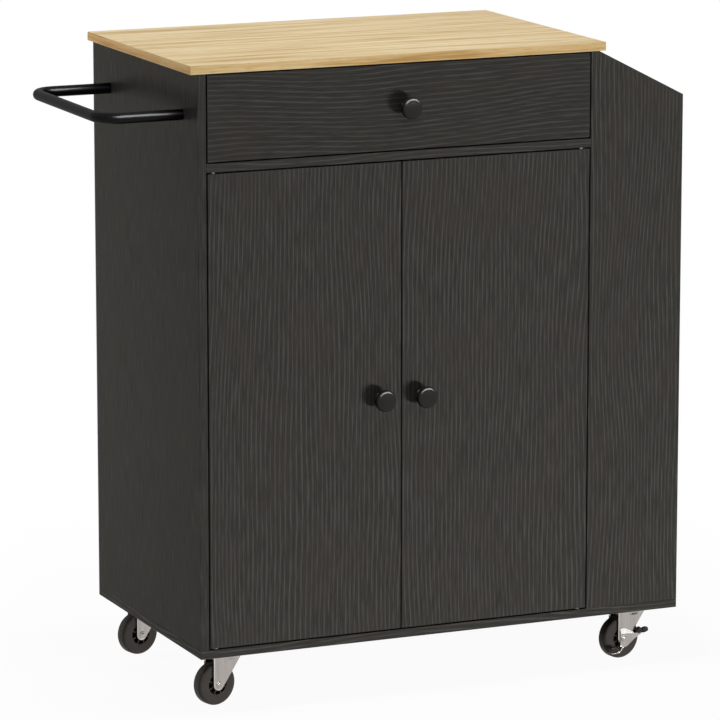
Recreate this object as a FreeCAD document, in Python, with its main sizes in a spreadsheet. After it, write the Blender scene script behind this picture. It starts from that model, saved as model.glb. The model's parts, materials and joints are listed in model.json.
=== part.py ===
import FreeCAD, Part
import math
import os
import re

import Sketcher

# Rolling kitchen island: a cabinet on four swivel casters, with a drawer over two doors on pivot
# pins, a towel bar on the left side and an open rack on the right side.
# +X is to the right, +Y to the back and +Z up. The origin is on the floor, under the middle of
# the whole island's length and depth. Lengths are in millimetres and angles in degrees.

os.makedirs("parts", exist_ok=True)
doc = FreeCAD.newDocument("KitchenIsland")

# The driving sizes
SIZES = {
    # Cabinet and boards
    "board": 12.0,
    "worktop_thickness": 12.0,
    "worktop_overhang": 10.0,
    "cabinet_width": 594.0,
    "cabinet_depth": 390.0,
    "body_height": 800.0,
    "back_panel_thickness": 5.0,
    "arris": 0.6,
    "front_gap": 2.0,
    "door_middle_gap": 1.7,
    "drawer_opening": 120.5,
    # Rack on the right side
    "rack_width": 130.0,
    "rack_drop": 67.0,
    "rack_shelf_setback": 6.0,
    "rack_lower_level": 240.0,
    "rack_upper_level": 480.0,
    "guard_rail_diameter": 8.0,
    "guard_rail_rise": 45.0,
    "guard_rail_inset": 10.0,
    "guard_rail_socket": 5.0,
    # Adjustable shelf
    "shelf_level": 330.0,
    "shelf_side_gap": 1.0,
    "shelf_setback": 22.0,
    "shelf_pin_diameter": 5.0,
    "shelf_pin_socket": 9.0,
    "shelf_pin_reach": 8.0,
    "shelf_pin_collar": 8.0,
    "shelf_pin_collar_thickness": 0.8,
    "shelf_pin_inset": 50.0,
    "shelf_pin_pitch": 32.0,
    "shelf_pin_play": 0.1,
    # Towel bar
    "bar_diameter": 15.0,
    "bar_wall": 1.5,
    "bar_reach": 113.6,
    "bar_bend": 30.0,
    "bar_front_inset": 56.0,
    "bar_back_inset": 59.0,
    "bar_drop": 60.5,
    "bar_plug": 16.0,
    "bar_screw_diameter": 5.0,
    "bar_screw_grip": 12.0,
    "bar_screw_head": 9.0,
    "bar_screw_head_height": 2.6,
    # Knobs
    "knob_diameter": 30.0,
    "knob_reach": 23.0,
    "knob_head_thickness": 9.0,
    "knob_crown": 1.2,
    "knob_rounding": 2.4,
    "knob_neck": 12.0,
    "knob_foot": 17.0,
    "knob_foot_height": 2.5,
    "knob_screw_diameter": 4.0,
    "knob_screw_grip": 10.0,
    "knob_screw_head": 8.0,
    "knob_screw_head_height": 2.4,
    "door_knob_inset": 30.0,
    "drawer_knob_offset": 7.0,
    # Door hinges and catch
    "hinge_inset": 10.0,
    "hinge_pin_diameter": 5.0,
    "hinge_pin_socket": 14.0,
    "hinge_pin_reach": 6.0,
    "hinge_play": 0.05,
    "bush_diameter": 8.0,
    "bush_depth": 8.0,
    "strike_width": 24.0,
    "strike_height": 12.0,
    "strike_thickness": 1.0,
    "strike_inset": 2.5,
    "catch_width": 56.0,
    "catch_depth": 16.0,
    "catch_height": 13.0,
    "catch_gap": 0.3,
    # Drawer box and runners
    "drawer_side_height": 80.0,
    "drawer_back_room": 28.0,
    "drawer_side_lift": 12.0,
    "drawer_bottom_thickness": 3.0,
    "drawer_bottom_lift": 8.0,
    "drawer_groove": 5.0,
    "cage_length": 100.0,
    "runner_space": 12.7,
    "runner_height": 35.0,
    "runner_level": 30.0,
    "runner_setback": 2.0,
    "runner_sheet": 1.2,
    "runner_flange": 9.0,
    "slide_height": 24.0,
    "slide_flange": 8.7,
    "cage_sheet": 0.9,
    "cage_web_gap": 1.0,
    "ball_play": 0.15,
    "runner_screw_diameter": 3.5,
    "runner_screw_head": 6.8,
    "runner_screw_length": 9.0,
    "runner_screw_inset": 35.0,
    # Fastenings
    "cam_diameter": 15.0,
    "cam_depth": 9.5,
    "cam_setback": 24.0,
    "cam_cover": 2.6,
    "cam_slot_width": 1.6,
    "cam_slot_length": 9.0,
    "cam_slot_depth": 1.2,
    "bolt_diameter": 6.0,
    "bolt_play": 0.2,
    "bolt_grip": 8.0,
    "joint_inset": 60.0,
    "rack_joint_inset": 150.0,
    "dowel_diameter": 6.0,
    "dowel_grip": 8.0,
    "dowel_length": 28.0,
    "dowel_offset": 32.0,
    "base_screw_diameter": 5.0,
    "base_screw_length": 45.0,
    "base_screw_head": 9.0,
    "base_screw_head_height": 3.0,
    "rack_screw_inset": 38.0,
    "nail_diameter": 1.6,
    "nail_length": 16.0,
    "nail_head": 4.0,
    "nail_head_height": 0.8,
    "nail_inset": 20.0,
    # Casters
    "caster_height": 80.0,
    "caster_left_inset": 60.0,
    "caster_right_inset": 43.0,
    "caster_front_inset": 59.5,
    "caster_back_inset": 35.5,
    "caster_trail": 20.0,
    "front_left_yaw": 13.0,
    "front_right_yaw": 9.0,
    "back_left_yaw": 14.0,
    "back_right_yaw": 11.0,
    "plate_length": 50.0,
    "plate_depth": 42.0,
    "plate_sheet": 2.0,
    "plate_corner": 4.0,
    "race_diameter": 32.0,
    "race_height": 3.7,
    "swivel_gap": 0.3,
    "fork_sheet": 2.0,
    "fork_front_reach": 23.0,
    "fork_end_radius": 8.3,
    "fork_crown_diameter": 40.0,
    "kingpin_diameter": 8.0,
    "kingpin_head": 14.0,
    "kingpin_head_height": 2.5,
    "kingpin_play": 0.05,
    "wheel_diameter": 60.0,
    "wheel_width": 18.0,
    "wheel_rounding": 2.5,
    "wheel_gap": 2.0,
    "wheel_recess_diameter": 29.0,
    "wheel_web": 4.0,
    "hub_diameter": 14.0,
    "hub_gap": 0.3,
    "spoke_width": 1.6,
    "spoke_setback": 1.0,
    "axle_diameter": 6.0,
    "axle_play": 0.05,
    "axle_head": 9.5,
    "axle_head_height": 1.8,
    "caster_screw_diameter": 4.0,
    "caster_screw_length": 10.0,
    "caster_screw_head": 7.5,
    "caster_screw_head_height": 2.0,
    "caster_screw_pitch_along": 40.0,
    "caster_screw_pitch_across": 30.0,
    # Brake levers
    "lever_sheet": 1.5,
    "lever_gap": 0.3,
    "lever_boss_radius": 10.0,
    "pedal_reach": 27.0,
    "pedal_angle": 14.0,
    "pedal_arm_radius": 3.2,
    "pedal_length": 13.0,
    "pedal_height": 7.0,
    "pedal_width": 8.0,
    "pedal_overhang": 2.0,
    "pedal_rounding": 1.0,
    "tongue_reach": 22.0,
    "tongue_angle": 220.0,
    "tongue_arm_radius": 3.5,
    "tongue_width": 7.0,
    "pad_diameter": 6.0,
    "pad_gap": 1.0,
}

# Counts
CASTER_CORNERS = ("front_left", "front_right", "back_left", "back_right")
BRAKED_CORNERS = ("front_right", "back_right")
SPOKES = 8
BALLS_PER_ROW = 4
SPARE_PIN_HOLES = (-1, 1)
NAILS_PER_SIDE = 5

# What is worked out from the driving sizes
PLACES = {
    "overall_width": "bar_reach + bar_diameter / 2 + cabinet_width + rack_width",
    "cabinet_left": "bar_reach + bar_diameter / 2 - overall_width / 2",
    "cabinet_right": "cabinet_left + cabinet_width",
    "rack_end": "cabinet_right + rack_width",
    "inner_left": "cabinet_left + board",
    "inner_right": "cabinet_right - board",
    "inner_width": "inner_right - inner_left",
    "middle": "(inner_left + inner_right) / 2",
    "front": "(knob_reach - cabinet_depth - back_panel_thickness) / 2",
    "behind_fronts": "front + board",
    "back": "front + cabinet_depth",
    "base_top": "caster_height + board",
    "body_top": "caster_height + body_height",
    "panel_height": "body_top - base_top",
    "divider_top": "body_top - drawer_opening",
    "divider_bottom": "divider_top - board",
    "door_bottom": "base_top + front_gap",
    "door_height": "divider_bottom - front_gap - door_bottom",
    "door_middle": "door_bottom + door_height / 2",
    "door_width": "(inner_width - 2 * front_gap - door_middle_gap) / 2",
    "left_door_edge": "inner_left + front_gap",
    "right_door_edge": "inner_right - front_gap",
    "left_hinge": "left_door_edge + hinge_inset",
    "right_hinge": "right_door_edge - hinge_inset",
    "hinge_line": "front + board / 2",
    "left_knob": "left_door_edge + door_width - door_knob_inset",
    "right_knob": "right_door_edge - door_width + door_knob_inset",
    "drawer_front_bottom": "divider_top + front_gap",
    "drawer_front_height": "body_top - front_gap - drawer_front_bottom",
    "drawer_middle": "drawer_front_bottom + drawer_front_height / 2",
    "drawer_knob": "middle + drawer_knob_offset",
    "drawer_left": "inner_left + runner_space",
    "drawer_right": "inner_right - runner_space",
    "drawer_side_bottom": "divider_top + drawer_side_lift",
    "drawer_floor": "drawer_side_bottom + drawer_bottom_lift",
    "drawer_floor_top": "drawer_floor + drawer_bottom_thickness",
    "drawer_side_length": "cabinet_depth - board - drawer_back_room",
    "drawer_end": "behind_fronts + drawer_side_length",
    "runner_start": "behind_fronts + runner_setback",
    "runner_length": "drawer_side_length",
    "runner_middle": "runner_start + runner_length / 2",
    "runner_line": "divider_top + runner_level",
    "drawer_travel": "runner_length - cage_length",
    "cage_middle": "runner_start + drawer_travel / 2 + cage_length / 2",
    "ball_gap": "runner_height / 2 - runner_sheet - slide_height / 2",
    "ball_radius": "ball_gap / 2 - ball_play",
    "ball_line": "slide_height / 2 + ball_gap / 2",
    "ball_depth": "runner_space / 2",
    "bar_height": "body_top - bar_drop",
    "bar_span": "cabinet_depth - bar_front_inset - bar_back_inset",
    "bar_middle": "front + bar_front_inset + bar_span / 2",
    "shelf_bottom": "base_top + shelf_level",
    "shelf_pin_height": "shelf_bottom - shelf_pin_diameter / 2",
    "rack_lower": "base_top + rack_lower_level",
    "rack_upper": "base_top + rack_upper_level",
    "rail_line": "rack_end - guard_rail_inset",
    "catch_front": "behind_fronts + strike_thickness + catch_gap",
    "front_line": "front + caster_front_inset",
    "back_line": "back - caster_back_inset",
    "left_line": "cabinet_left + caster_left_inset",
    "right_line": "rack_end - caster_right_inset",
    "plate_bottom": "caster_height - plate_sheet",
    "crown_top": "plate_bottom - race_height - swivel_gap",
    "crown_bottom": "crown_top - fork_sheet",
    "kingpin_seat": "crown_bottom - swivel_gap",
    "wheel_radius": "wheel_diameter / 2",
    "leg_inside": "wheel_width / 2 + wheel_gap",
    "leg_outside": "leg_inside + fork_sheet",
    "lever_outside": "leg_outside + lever_gap + lever_sheet",
}

X_AXIS = FreeCAD.Vector(1, 0, 0)
Y_AXIS = FreeCAD.Vector(0, 1, 0)
Z_AXIS = FreeCAD.Vector(0, 0, 1)
ORIGIN = (-1, 1)


def fill_sheet():
    """Write every size and every worked-out place into the spreadsheet, each with its alias."""
    table = doc.addObject("Spreadsheet::Sheet", "dims")
    cells = {name: str(size) for name, size in SIZES.items()}
    cells.update({name: "=" + formula for name, formula in PLACES.items()})
    for row, (name, text) in enumerate(cells.items(), start=1):
        table.set(f"A{row}", name)
        table.set(f"B{row}", text)
        table.setAlias(f"B{row}", name)
    doc.recompute()
    return table


dims = fill_sheet()


def linked(formula):
    """The formula with each size or place pointed at its cell in the spreadsheet."""

    def pointed(word):
        name = word[0]
        return f"dims.{name}" if name in SIZES or name in PLACES else name

    return re.sub(r"[a-z_]+", pointed, formula)


def bind(thing, **formulas):
    """Bind properties of an object; two underscores in a name stand for a dot."""
    for name, formula in formulas.items():
        thing.setExpression(name.replace("__", "."), linked(formula))
    return thing


def value(formula):
    """The present value of a formula, for starting a sketch near its solved shape."""
    return float(dims.evalExpression(linked(formula)))


def place(thing, x="0", y="0", z="0", aim=None, turn=None):
    """Put an object at a bound position, its own +Z aimed along a direction or turned about +Z."""
    if aim is not None:
        thing.Placement = FreeCAD.Placement(FreeCAD.Vector(), FreeCAD.Rotation(Z_AXIS, aim))
    bind(thing, Placement__Base__x=x, Placement__Base__y=y, Placement__Base__z=z)
    if turn is not None:
        bind(thing, Placement__Rotation__Angle=turn)
    return thing


def copy_of(master, label, **where):
    """Another copy of a piece at a place of its own."""
    link = doc.addObject("App::Link", label)
    link.Label = label
    link.LinkedObject = master
    return place(link, **where)


def group(label, members):
    """Like pieces that share one node, each still a solid of its own."""
    compound = doc.addObject("Part::Compound", label)
    compound.Label = label
    compound.Links = members
    return compound


def fuse(label, members):
    """One solid out of several."""
    joined = doc.addObject("Part::MultiFuse", label)
    joined.Label = label
    joined.Shapes = members
    return joined


def cut(label, blank, tools):
    """The blank with the space of each tool taken out."""
    for number, tool in enumerate(tools):
        result = doc.addObject("Part::Cut", label if tool is tools[-1] else f"{label}_cut_{number}")
        result.Base = blank
        result.Tool = tool
        blank = result
    result.Label = label
    return result


def box(label, x, y, z, length, width, height):
    """A plain block from its lowest corner."""
    block = doc.addObject("Part::Box", label)
    bind(block, Length=length, Width=width, Height=height)
    return place(block, x, y, z)


def rod(label, radius, length, **where):
    """A plain cylinder along its own +Z."""
    cylinder = doc.addObject("Part::Cylinder", label)
    bind(cylinder, Radius=radius, Height=length)
    return place(cylinder, **where)


def new_body(label):
    body = doc.addObject("PartDesign::Body", label)
    body.Label = label
    return body


def new_sketch(body, plane):
    """A sketch on one of the body's own origin planes."""
    sketch = body.newObject("Sketcher::SketchObject", f"{body.Name}_sketch")
    planes = [each for each in body.Origin.OriginFeatures if each.Role == plane]
    sketch.AttachmentSupport = [(planes[0], "")]
    sketch.MapMode = "FlatFace"
    return sketch


def pin_point(sketch, geometry, end, x, y):
    """Hold one end of a line or arc at a bound place."""
    for kind, formula in (("DistanceX", x), ("DistanceY", y)):
        number = sketch.addConstraint(Sketcher.Constraint(kind, *ORIGIN, geometry, end, value(formula)))
        bind(sketch, **{f"Constraints[{number}]": formula})


def outline(body, plane, corners):
    """A closed outline of straight lines whose corners are pairs of formulas."""
    sketch = new_sketch(body, plane)
    spots = [FreeCAD.Vector(value(x), value(y), 0) for x, y in corners]
    for here, there in zip(spots, spots[1:] + spots[:1]):
        sketch.addGeometry(Part.LineSegment(here, there))
    count = len(corners)
    for number, (x, y) in enumerate(corners):
        sketch.addConstraint(Sketcher.Constraint("Coincident", number, 2, (number + 1) % count, 1))
        pin_point(sketch, number, 1, x, y)
    return sketch


def rectangle(body, plane, low_x, low_y, high_x, high_y):
    corners = ((low_x, low_y), (high_x, low_y), (high_x, high_y), (low_x, high_y))
    return outline(body, plane, corners)


def circle(body, plane, radius, x="0", y="0"):
    """A circle with a bound radius and centre."""
    sketch = new_sketch(body, plane)
    centre = FreeCAD.Vector(value(x), value(y), 0)
    sketch.addGeometry(Part.Circle(centre, Z_AXIS, value(radius)))
    pin_point(sketch, 0, 3, x, y)
    number = sketch.addConstraint(Sketcher.Constraint("Radius", 0, value(radius)))
    bind(sketch, **{f"Constraints[{number}]": radius})
    return sketch


def feature(body, kind, sketch, **formulas):
    """A Pad or Pocket of a sketch."""
    made = body.newObject("PartDesign::" + kind, f"{body.Name}_{kind.lower()}")
    made.Profile = sketch
    bind(made, **formulas)
    return made


def pad(body, sketch, length, both_ways=False):
    made = feature(body, "Pad", sketch, Length=length)
    made.Midplane = both_ways
    return made


def pocket(body, sketch, length):
    """A cut through both sides of the sketch's plane."""
    made = feature(body, "Pocket", sketch, Length=length)
    made.Midplane = True
    return made


def turned(label, plane, profile):
    """A lathe-turned piece: the profile is given as radius and distance along the axis."""
    body = new_body(label)
    sketch = outline(body, plane, profile)
    spin = body.newObject("PartDesign::Revolution", f"{label}_spin")
    spin.Profile = sketch
    spin.ReferenceAxis = (sketch, ["V_Axis"])
    spin.Angle = 360
    return body


def ease(body, radius, wanted=lambda edge: True):
    """Round the chosen edges of a body's last feature."""
    doc.recompute()
    last = body.Tip
    names = [f"Edge{n}" for n, edge in enumerate(last.Shape.Edges, start=1) if wanted(edge)]
    fillet = body.newObject("PartDesign::Fillet", f"{body.Name}_rounding")
    fillet.Base = (last, names)
    bind(fillet, Radius=radius)
    return body


def panel(label, x, y, z, width, depth, height):
    """A rectangular board with its arrises eased, from its lowest corner."""
    body = new_body(label)
    pad(body, rectangle(body, "XY_Plane", "0", "0", width, depth), height)
    ease(body, "arris")
    return place(body, x, y, z)


def round_edge_of(radius):
    """Tells whether an edge is a circle of the given radius."""
    target = value(radius)

    def wanted(edge):
        return hasattr(edge.Curve, "Radius") and abs(edge.Curve.Radius - target) < Part.Precision.confusion()

    return wanted


# Fastenings

def screw_shape(label, diameter, length, head, head_height):
    """A screw along +Z: its seat at the origin, its tip at its length, its head below the seat."""
    profile = (
        ("0", f"-{head_height}"),
        (f"{head} / 2", f"-{head_height}"),
        (f"{head} / 2", "0"),
        (f"{diameter} / 2", "0"),
        (f"{diameter} / 2", f"{length} - {diameter} / 2"),
        ("0", length),
    )
    return turned(label, "XZ_Plane", profile)


def sunk_screw_shape(label, diameter, length, head, head_height):
    """A countersunk screw along +Z: its flat head at the origin, its tip at its length."""
    profile = (
        ("0", "0"),
        (f"{head} / 2", "0"),
        (f"{diameter} / 2", head_height),
        (f"{diameter} / 2", f"{length} - {diameter} / 2"),
        ("0", length),
    )
    return turned(label, "XZ_Plane", profile)


def repeat(label, master, spots):
    """A node of like pieces: each spot is a place's keyword arguments."""
    return group(label, [copy_of(master, f"{label}_{n}", **spot) for n, spot in enumerate(spots, start=1)])


def spot(x, y, z, aim=Z_AXIS):
    return {"x": x, "y": y, "z": z, "aim": aim}


def side_joint_lines():
    """The lines along the depth at which the side panels are fastened."""
    return ("front + joint_inset", "back - joint_inset")


def cam_joints():
    """Each cam joint: where its cam sits, the way its cam goes in, and the way its bolt runs out."""
    joints = []
    for y in side_joint_lines():
        level = "body_top - cam_setback"
        joints.append((spot("inner_left", y, level), -X_AXIS, Z_AXIS))
        joints.append((spot("inner_right", y, level), X_AXIS, Z_AXIS))
        joints.append((spot("inner_left + cam_setback", y, "divider_bottom"), Z_AXIS, -X_AXIS))
        joints.append((spot("inner_right - cam_setback", y, "divider_bottom"), Z_AXIS, X_AXIS))
    for level in ("base_top + rack_joint_inset", "body_top - rack_joint_inset"):
        joints.append((spot("cabinet_right", "behind_fronts + cam_setback", level), -X_AXIS, -Y_AXIS))
        joints.append((spot("cabinet_right", "back - board - cam_setback", level), -X_AXIS, Y_AXIS))
    for level in ("rack_lower", "rack_upper"):
        across = "cabinet_right + rack_width / 2"
        joints.append((spot(across, "behind_fronts + cam_setback", level), Z_AXIS, -Y_AXIS))
        joints.append((spot(across, "back - board - cam_setback", level), Z_AXIS, Y_AXIS))
    return joints


def shifted(where, direction, formula):
    """The spot moved along a direction, which is one of the axes, by a formula."""
    moved = dict(where)
    for axis, share in zip("xyz", (direction.x, direction.y, direction.z)):
        if share:
            moved[axis] = f"{where[axis]} {'+' if share > 0 else '-'} ({formula})"
    return moved


def cam_fittings():
    """Cam locks, the bolts that they draw in, and the bored seats of the locks."""
    drum = rod("cam_drum", "cam_diameter / 2", "cam_depth")
    room = box(
        "cam_room", "0", "-bolt_diameter / 2 - bolt_play", "cam_cover",
        "cam_diameter", "bolt_diameter + 2 * bolt_play", "cam_depth",
    )
    slots = [
        box("cam_slot_along", "-cam_slot_length / 2", "-cam_slot_width / 2", "-cam_slot_depth",
            "cam_slot_length", "cam_slot_width", "2 * cam_slot_depth"),
        box("cam_slot_across", "-cam_slot_width / 2", "-cam_slot_length / 2", "-cam_slot_depth",
            "cam_slot_width", "cam_slot_length", "2 * cam_slot_depth"),
    ]
    cam = cut("cam_lock_shape", drum, [room, *slots])
    bolt = rod("cam_bolt_shape", "bolt_diameter / 2", "cam_setback - bolt_diameter / 2 + bolt_grip")
    locks = []
    seats = []
    bolts = []
    for number, (where, inward, outward) in enumerate(cam_joints(), start=1):
        for made, master, label in ((locks, cam, "cam_lock"), (seats, drum, "cam_seat")):
            piece = copy_of(master, f"{label}_{number}", x=where["x"], y=where["y"], z=where["z"])
            piece.Placement.Rotation = FreeCAD.Rotation(outward, inward.cross(outward), inward, "ZXY")
            made.append(piece)
        start = shifted(shifted(where, inward, "board / 2"), outward, "bolt_diameter / 2")
        start["aim"] = outward
        bolts.append(copy_of(bolt, f"cam_bolt_{number}", **start))
    return group("cam_locks", locks), group("cam_bolts", bolts), group("cam_seats", seats)


def dowels():
    """Wooden dowels beside the cam bolts, across each board joint."""
    master = rod("dowel_shape", "dowel_diameter / 2", "dowel_length")
    spots = []
    for where, inward, outward in cam_joints():
        beside = inward.cross(outward)
        if beside.y:
            beside = Y_AXIS if "front" in where["y"] else -Y_AXIS
        elif beside.z:
            beside = Z_AXIS
        start = shifted(shifted(where, inward, "board / 2"), beside, "dowel_offset")
        start = shifted(start, outward, "cam_setback + dowel_grip - dowel_length")
        start["aim"] = outward
        spots.append(start)
    return repeat("wood_dowels", master, spots)


def base_screws():
    """Screws up through the base board into the side panels and the rack panels."""
    master = sunk_screw_shape(
        "base_screw_shape", "base_screw_diameter", "base_screw_length", "base_screw_head",
        "base_screw_head_height",
    )
    spots = []
    for x in ("cabinet_left + board / 2", "cabinet_right - board / 2"):
        for y in (*side_joint_lines(), "front + cabinet_depth / 2"):
            spots.append(spot(x, y, "caster_height"))
    for x in ("cabinet_right + rack_screw_inset", "rack_end - rack_screw_inset"):
        for y in ("front + board / 2", "back - board / 2"):
            spots.append(spot(x, y, "caster_height"))
    return repeat("base_screws", master, spots)


def back_nails():
    """Nails through the thin back panel into the edges of the boards."""
    master = screw_shape("nail_shape", "nail_diameter", "nail_length", "nail_head", "nail_head_height")
    skin = "back + back_panel_thickness"
    spots = []
    for x in ("cabinet_left + board / 2", "cabinet_right - board / 2"):
        for step in range(NAILS_PER_SIDE):
            level = f"base_top + nail_inset + (panel_height - 2 * nail_inset) * {step} / {NAILS_PER_SIDE - 1}"
            spots.append(spot(x, skin, level, -Y_AXIS))
    for level in ("caster_height + board / 2", "divider_bottom + board / 2"):
        for share in (1, 2, 3):
            spots.append(spot(f"inner_left + inner_width * {share} / 4", skin, level, -Y_AXIS))
    return repeat("back_panel_nails", master, spots)


def bar_screws():
    """Screws from inside the left side panel into the ends of the towel bar."""
    master = screw_shape(
        "bar_screw_shape", "bar_screw_diameter", "board + bar_screw_grip", "bar_screw_head",
        "bar_screw_head_height",
    )
    ends = ("bar_middle - bar_span / 2", "bar_middle + bar_span / 2")
    return repeat("towel_bar_screws", master, [spot("inner_left", y, "bar_height", -X_AXIS) for y in ends])


def knob_screw(label, x, z):
    """The screw that holds a knob from behind its door or drawer front."""
    screw = screw_shape(
        label, "knob_screw_diameter", "board + knob_screw_grip", "knob_screw_head",
        "knob_screw_head_height",
    )
    return place(screw, x, "behind_fronts", z, aim=-Y_AXIS)


def runner_screw_lines():
    ends = ("runner_start + runner_screw_inset", "runner_start + runner_length - runner_screw_inset")
    return (ends[0], "runner_middle", ends[1])


def runner_screws():
    """Flat-headed screws through the cabinet members of the runners into the side panels."""
    master = sunk_screw_shape(
        "runner_screw_shape", "runner_screw_diameter", "runner_screw_length", "runner_screw_head",
        "(runner_screw_head - runner_screw_diameter) / 2",
    )
    spots = []
    for y in runner_screw_lines():
        spots.append(spot("inner_left + runner_sheet", y, "runner_line", -X_AXIS))
        spots.append(spot("inner_right - runner_sheet", y, "runner_line", X_AXIS))
    return repeat("cabinet_runner_screws", master, spots)


# Hinges, shelf pins and catch

def hinge_bushes():
    """Bushes in the base board and the divider that the door pins turn in, and their bored seats."""
    bore = "hinge_pin_diameter / 2 + hinge_play"
    profile = (
        (bore, "0"),
        ("bush_diameter / 2", "0"),
        ("bush_diameter / 2", "bush_depth"),
        (bore, "bush_depth"),
    )
    master = turned("hinge_bush_shape", "XZ_Plane", profile)
    seat = rod("bush_seat_shape", "bush_diameter / 2", "bush_depth")
    spots = []
    for x in ("left_hinge", "right_hinge"):
        spots.append(spot(x, "hinge_line", "base_top - bush_depth"))
        spots.append(spot(x, "hinge_line", "divider_bottom"))
    return repeat("hinge_bushes", master, spots), repeat("bush_seats", seat, spots)


def door_pins(label, x):
    """The two pivot pins of a door, fixed in its upper and lower edge."""
    reach = "front_gap + hinge_pin_reach"
    length = f"hinge_pin_socket + {reach}"
    lower = rod(label + "_lower", "hinge_pin_diameter / 2", length, x=x, y="hinge_line",
                z=f"door_bottom - ({reach})")
    upper = rod(label + "_upper", "hinge_pin_diameter / 2", length, x=x, y="hinge_line",
                z="door_bottom + door_height - hinge_pin_socket")
    return group(label, [lower, upper])


def shelf_pin_spots():
    spots = []
    for y in ("front + shelf_pin_inset", "back - shelf_pin_inset"):
        spots.append(spot("inner_left", y, "shelf_pin_height", -X_AXIS))
        spots.append(spot("inner_right", y, "shelf_pin_height", X_AXIS))
    return spots


def shelf_pins():
    """Pins in the side panels that carry the adjustable shelf."""
    profile = (
        ("0", "-shelf_pin_reach"),
        ("shelf_pin_diameter / 2", "-shelf_pin_reach"),
        ("shelf_pin_diameter / 2", "-shelf_pin_collar_thickness"),
        ("shelf_pin_collar / 2", "-shelf_pin_collar_thickness"),
        ("shelf_pin_collar / 2", "0"),
        ("shelf_pin_diameter / 2", "0"),
        ("shelf_pin_diameter / 2", "shelf_pin_socket"),
        ("0", "shelf_pin_socket"),
    )
    master = turned("shelf_pin_shape", "XZ_Plane", profile)
    return repeat("shelf_pins", master, shelf_pin_spots())


def pin_holes():
    """The bored rows for the shelf pins, with spare holes above and below."""
    master = rod("pin_hole_shape", "shelf_pin_diameter / 2 + shelf_pin_play", "shelf_pin_socket")
    spots = []
    for where in shelf_pin_spots():
        for step in (*SPARE_PIN_HOLES, 0):
            spots.append(dict(where, z=f"{where['z']} + shelf_pin_pitch * {step}"))
    return repeat("pin_holes", master, spots)


def strike_plate(label, x):
    """The steel plate on the back of a door that the magnet draws."""
    return box(label, x, "behind_fronts", "door_bottom + door_height - strike_height",
               "strike_width", "strike_thickness", "strike_height")


def magnetic_catch():
    """The double magnetic catch under the divider."""
    body = new_body("magnetic_catch")
    pad(body, rectangle(body, "XY_Plane", "0", "0", "catch_width", "catch_depth"), "catch_height")
    ease(body, "arris")
    return place(body, "middle - catch_width / 2", "catch_front", "divider_bottom - catch_height")


# Knobs and towel bar

def knob_shape():
    """A turned mushroom knob that reaches towards -Y from its seat."""
    head = "knob_reach - knob_head_thickness"
    profile = (
        ("knob_screw_diameter / 2", "0"),
        ("knob_foot / 2", "0"),
        ("knob_foot / 2", "-knob_foot_height"),
        ("knob_neck / 2", "-2 * knob_foot_height"),
        ("knob_neck / 2", f"-({head})"),
        ("knob_diameter / 2", f"-({head}) - knob_crown"),
        ("knob_diameter / 2", "-knob_reach + knob_crown"),
        ("knob_neck / 2", "-knob_reach"),
        ("0", "-knob_reach"),
        ("0", "-knob_screw_grip"),
        ("knob_screw_diameter / 2", "-knob_screw_grip"),
    )
    body = turned("knob_shape", "XY_Plane", profile)
    return ease(body, "knob_rounding", round_edge_of("knob_diameter / 2"))


def bar_path(body, start):
    """The centre line of the towel bar: out from the panel, along it and back in."""
    sketch = new_sketch(body, "XY_Plane")
    out = value("bar_reach")
    half = value("bar_span / 2")
    bend = value("bar_bend")
    begin = value(start)
    vector = FreeCAD.Vector
    sketch.addGeometry(Part.LineSegment(vector(-begin, -half, 0), vector(bend - out, -half, 0)))
    near = Part.Circle(vector(bend - out, bend - half, 0), Z_AXIS, bend)
    sketch.addGeometry(Part.ArcOfCircle(near, math.pi, 1.5 * math.pi))
    sketch.addGeometry(Part.LineSegment(vector(-out, bend - half, 0), vector(-out, half - bend, 0)))
    far = Part.Circle(vector(bend - out, half - bend, 0), Z_AXIS, bend)
    sketch.addGeometry(Part.ArcOfCircle(far, 0.5 * math.pi, math.pi))
    sketch.addGeometry(Part.LineSegment(vector(bend - out, half, 0), vector(-begin, half, 0)))
    for first, first_end, second, second_end in ((0, 2, 1, 2), (1, 1, 2, 1), (2, 2, 3, 2), (3, 1, 4, 1)):
        sketch.addConstraint(Sketcher.Constraint("Tangent", first, first_end, second, second_end))
    pin_point(sketch, 0, 1, f"-({start})", "-bar_span / 2")
    pin_point(sketch, 4, 2, f"-({start})", "bar_span / 2")
    pin_point(sketch, 2, 1, "-bar_reach", "bar_bend - bar_span / 2")
    sketch.addConstraint(Sketcher.Constraint("Horizontal", 0))
    sketch.addConstraint(Sketcher.Constraint("Vertical", 2))
    sketch.addConstraint(Sketcher.Constraint("Equal", 1, 3))
    return sketch


def bar_pipe(body, kind, start, radius):
    """A round bar or bore along the towel bar's centre line."""
    path = bar_path(body, start)
    section = circle(body, "YZ_Plane", radius, "-bar_span / 2", "0")
    bind(section, AttachmentOffset__Base__z=f"-({start})")
    doc.recompute()
    pipe = body.newObject("PartDesign::" + kind, f"{body.Name}_{kind.lower()}")
    pipe.Profile = section
    pipe.Spine = (path, [f"Edge{n}" for n in range(1, len(path.Shape.Edges) + 1)])
    return pipe


def towel_bar(screws):
    """A bent tube with a solid plug in each end that takes its screw."""
    body = new_body("towel_bar_tube")
    bar_pipe(body, "AdditivePipe", "0", "bar_diameter / 2")
    bar_pipe(body, "SubtractivePipe", "bar_plug", "bar_diameter / 2 - bar_wall")
    place(body, "cabinet_left", "bar_middle", "bar_height")
    return cut("towel_bar", body, [screws])


# Carcass

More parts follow.
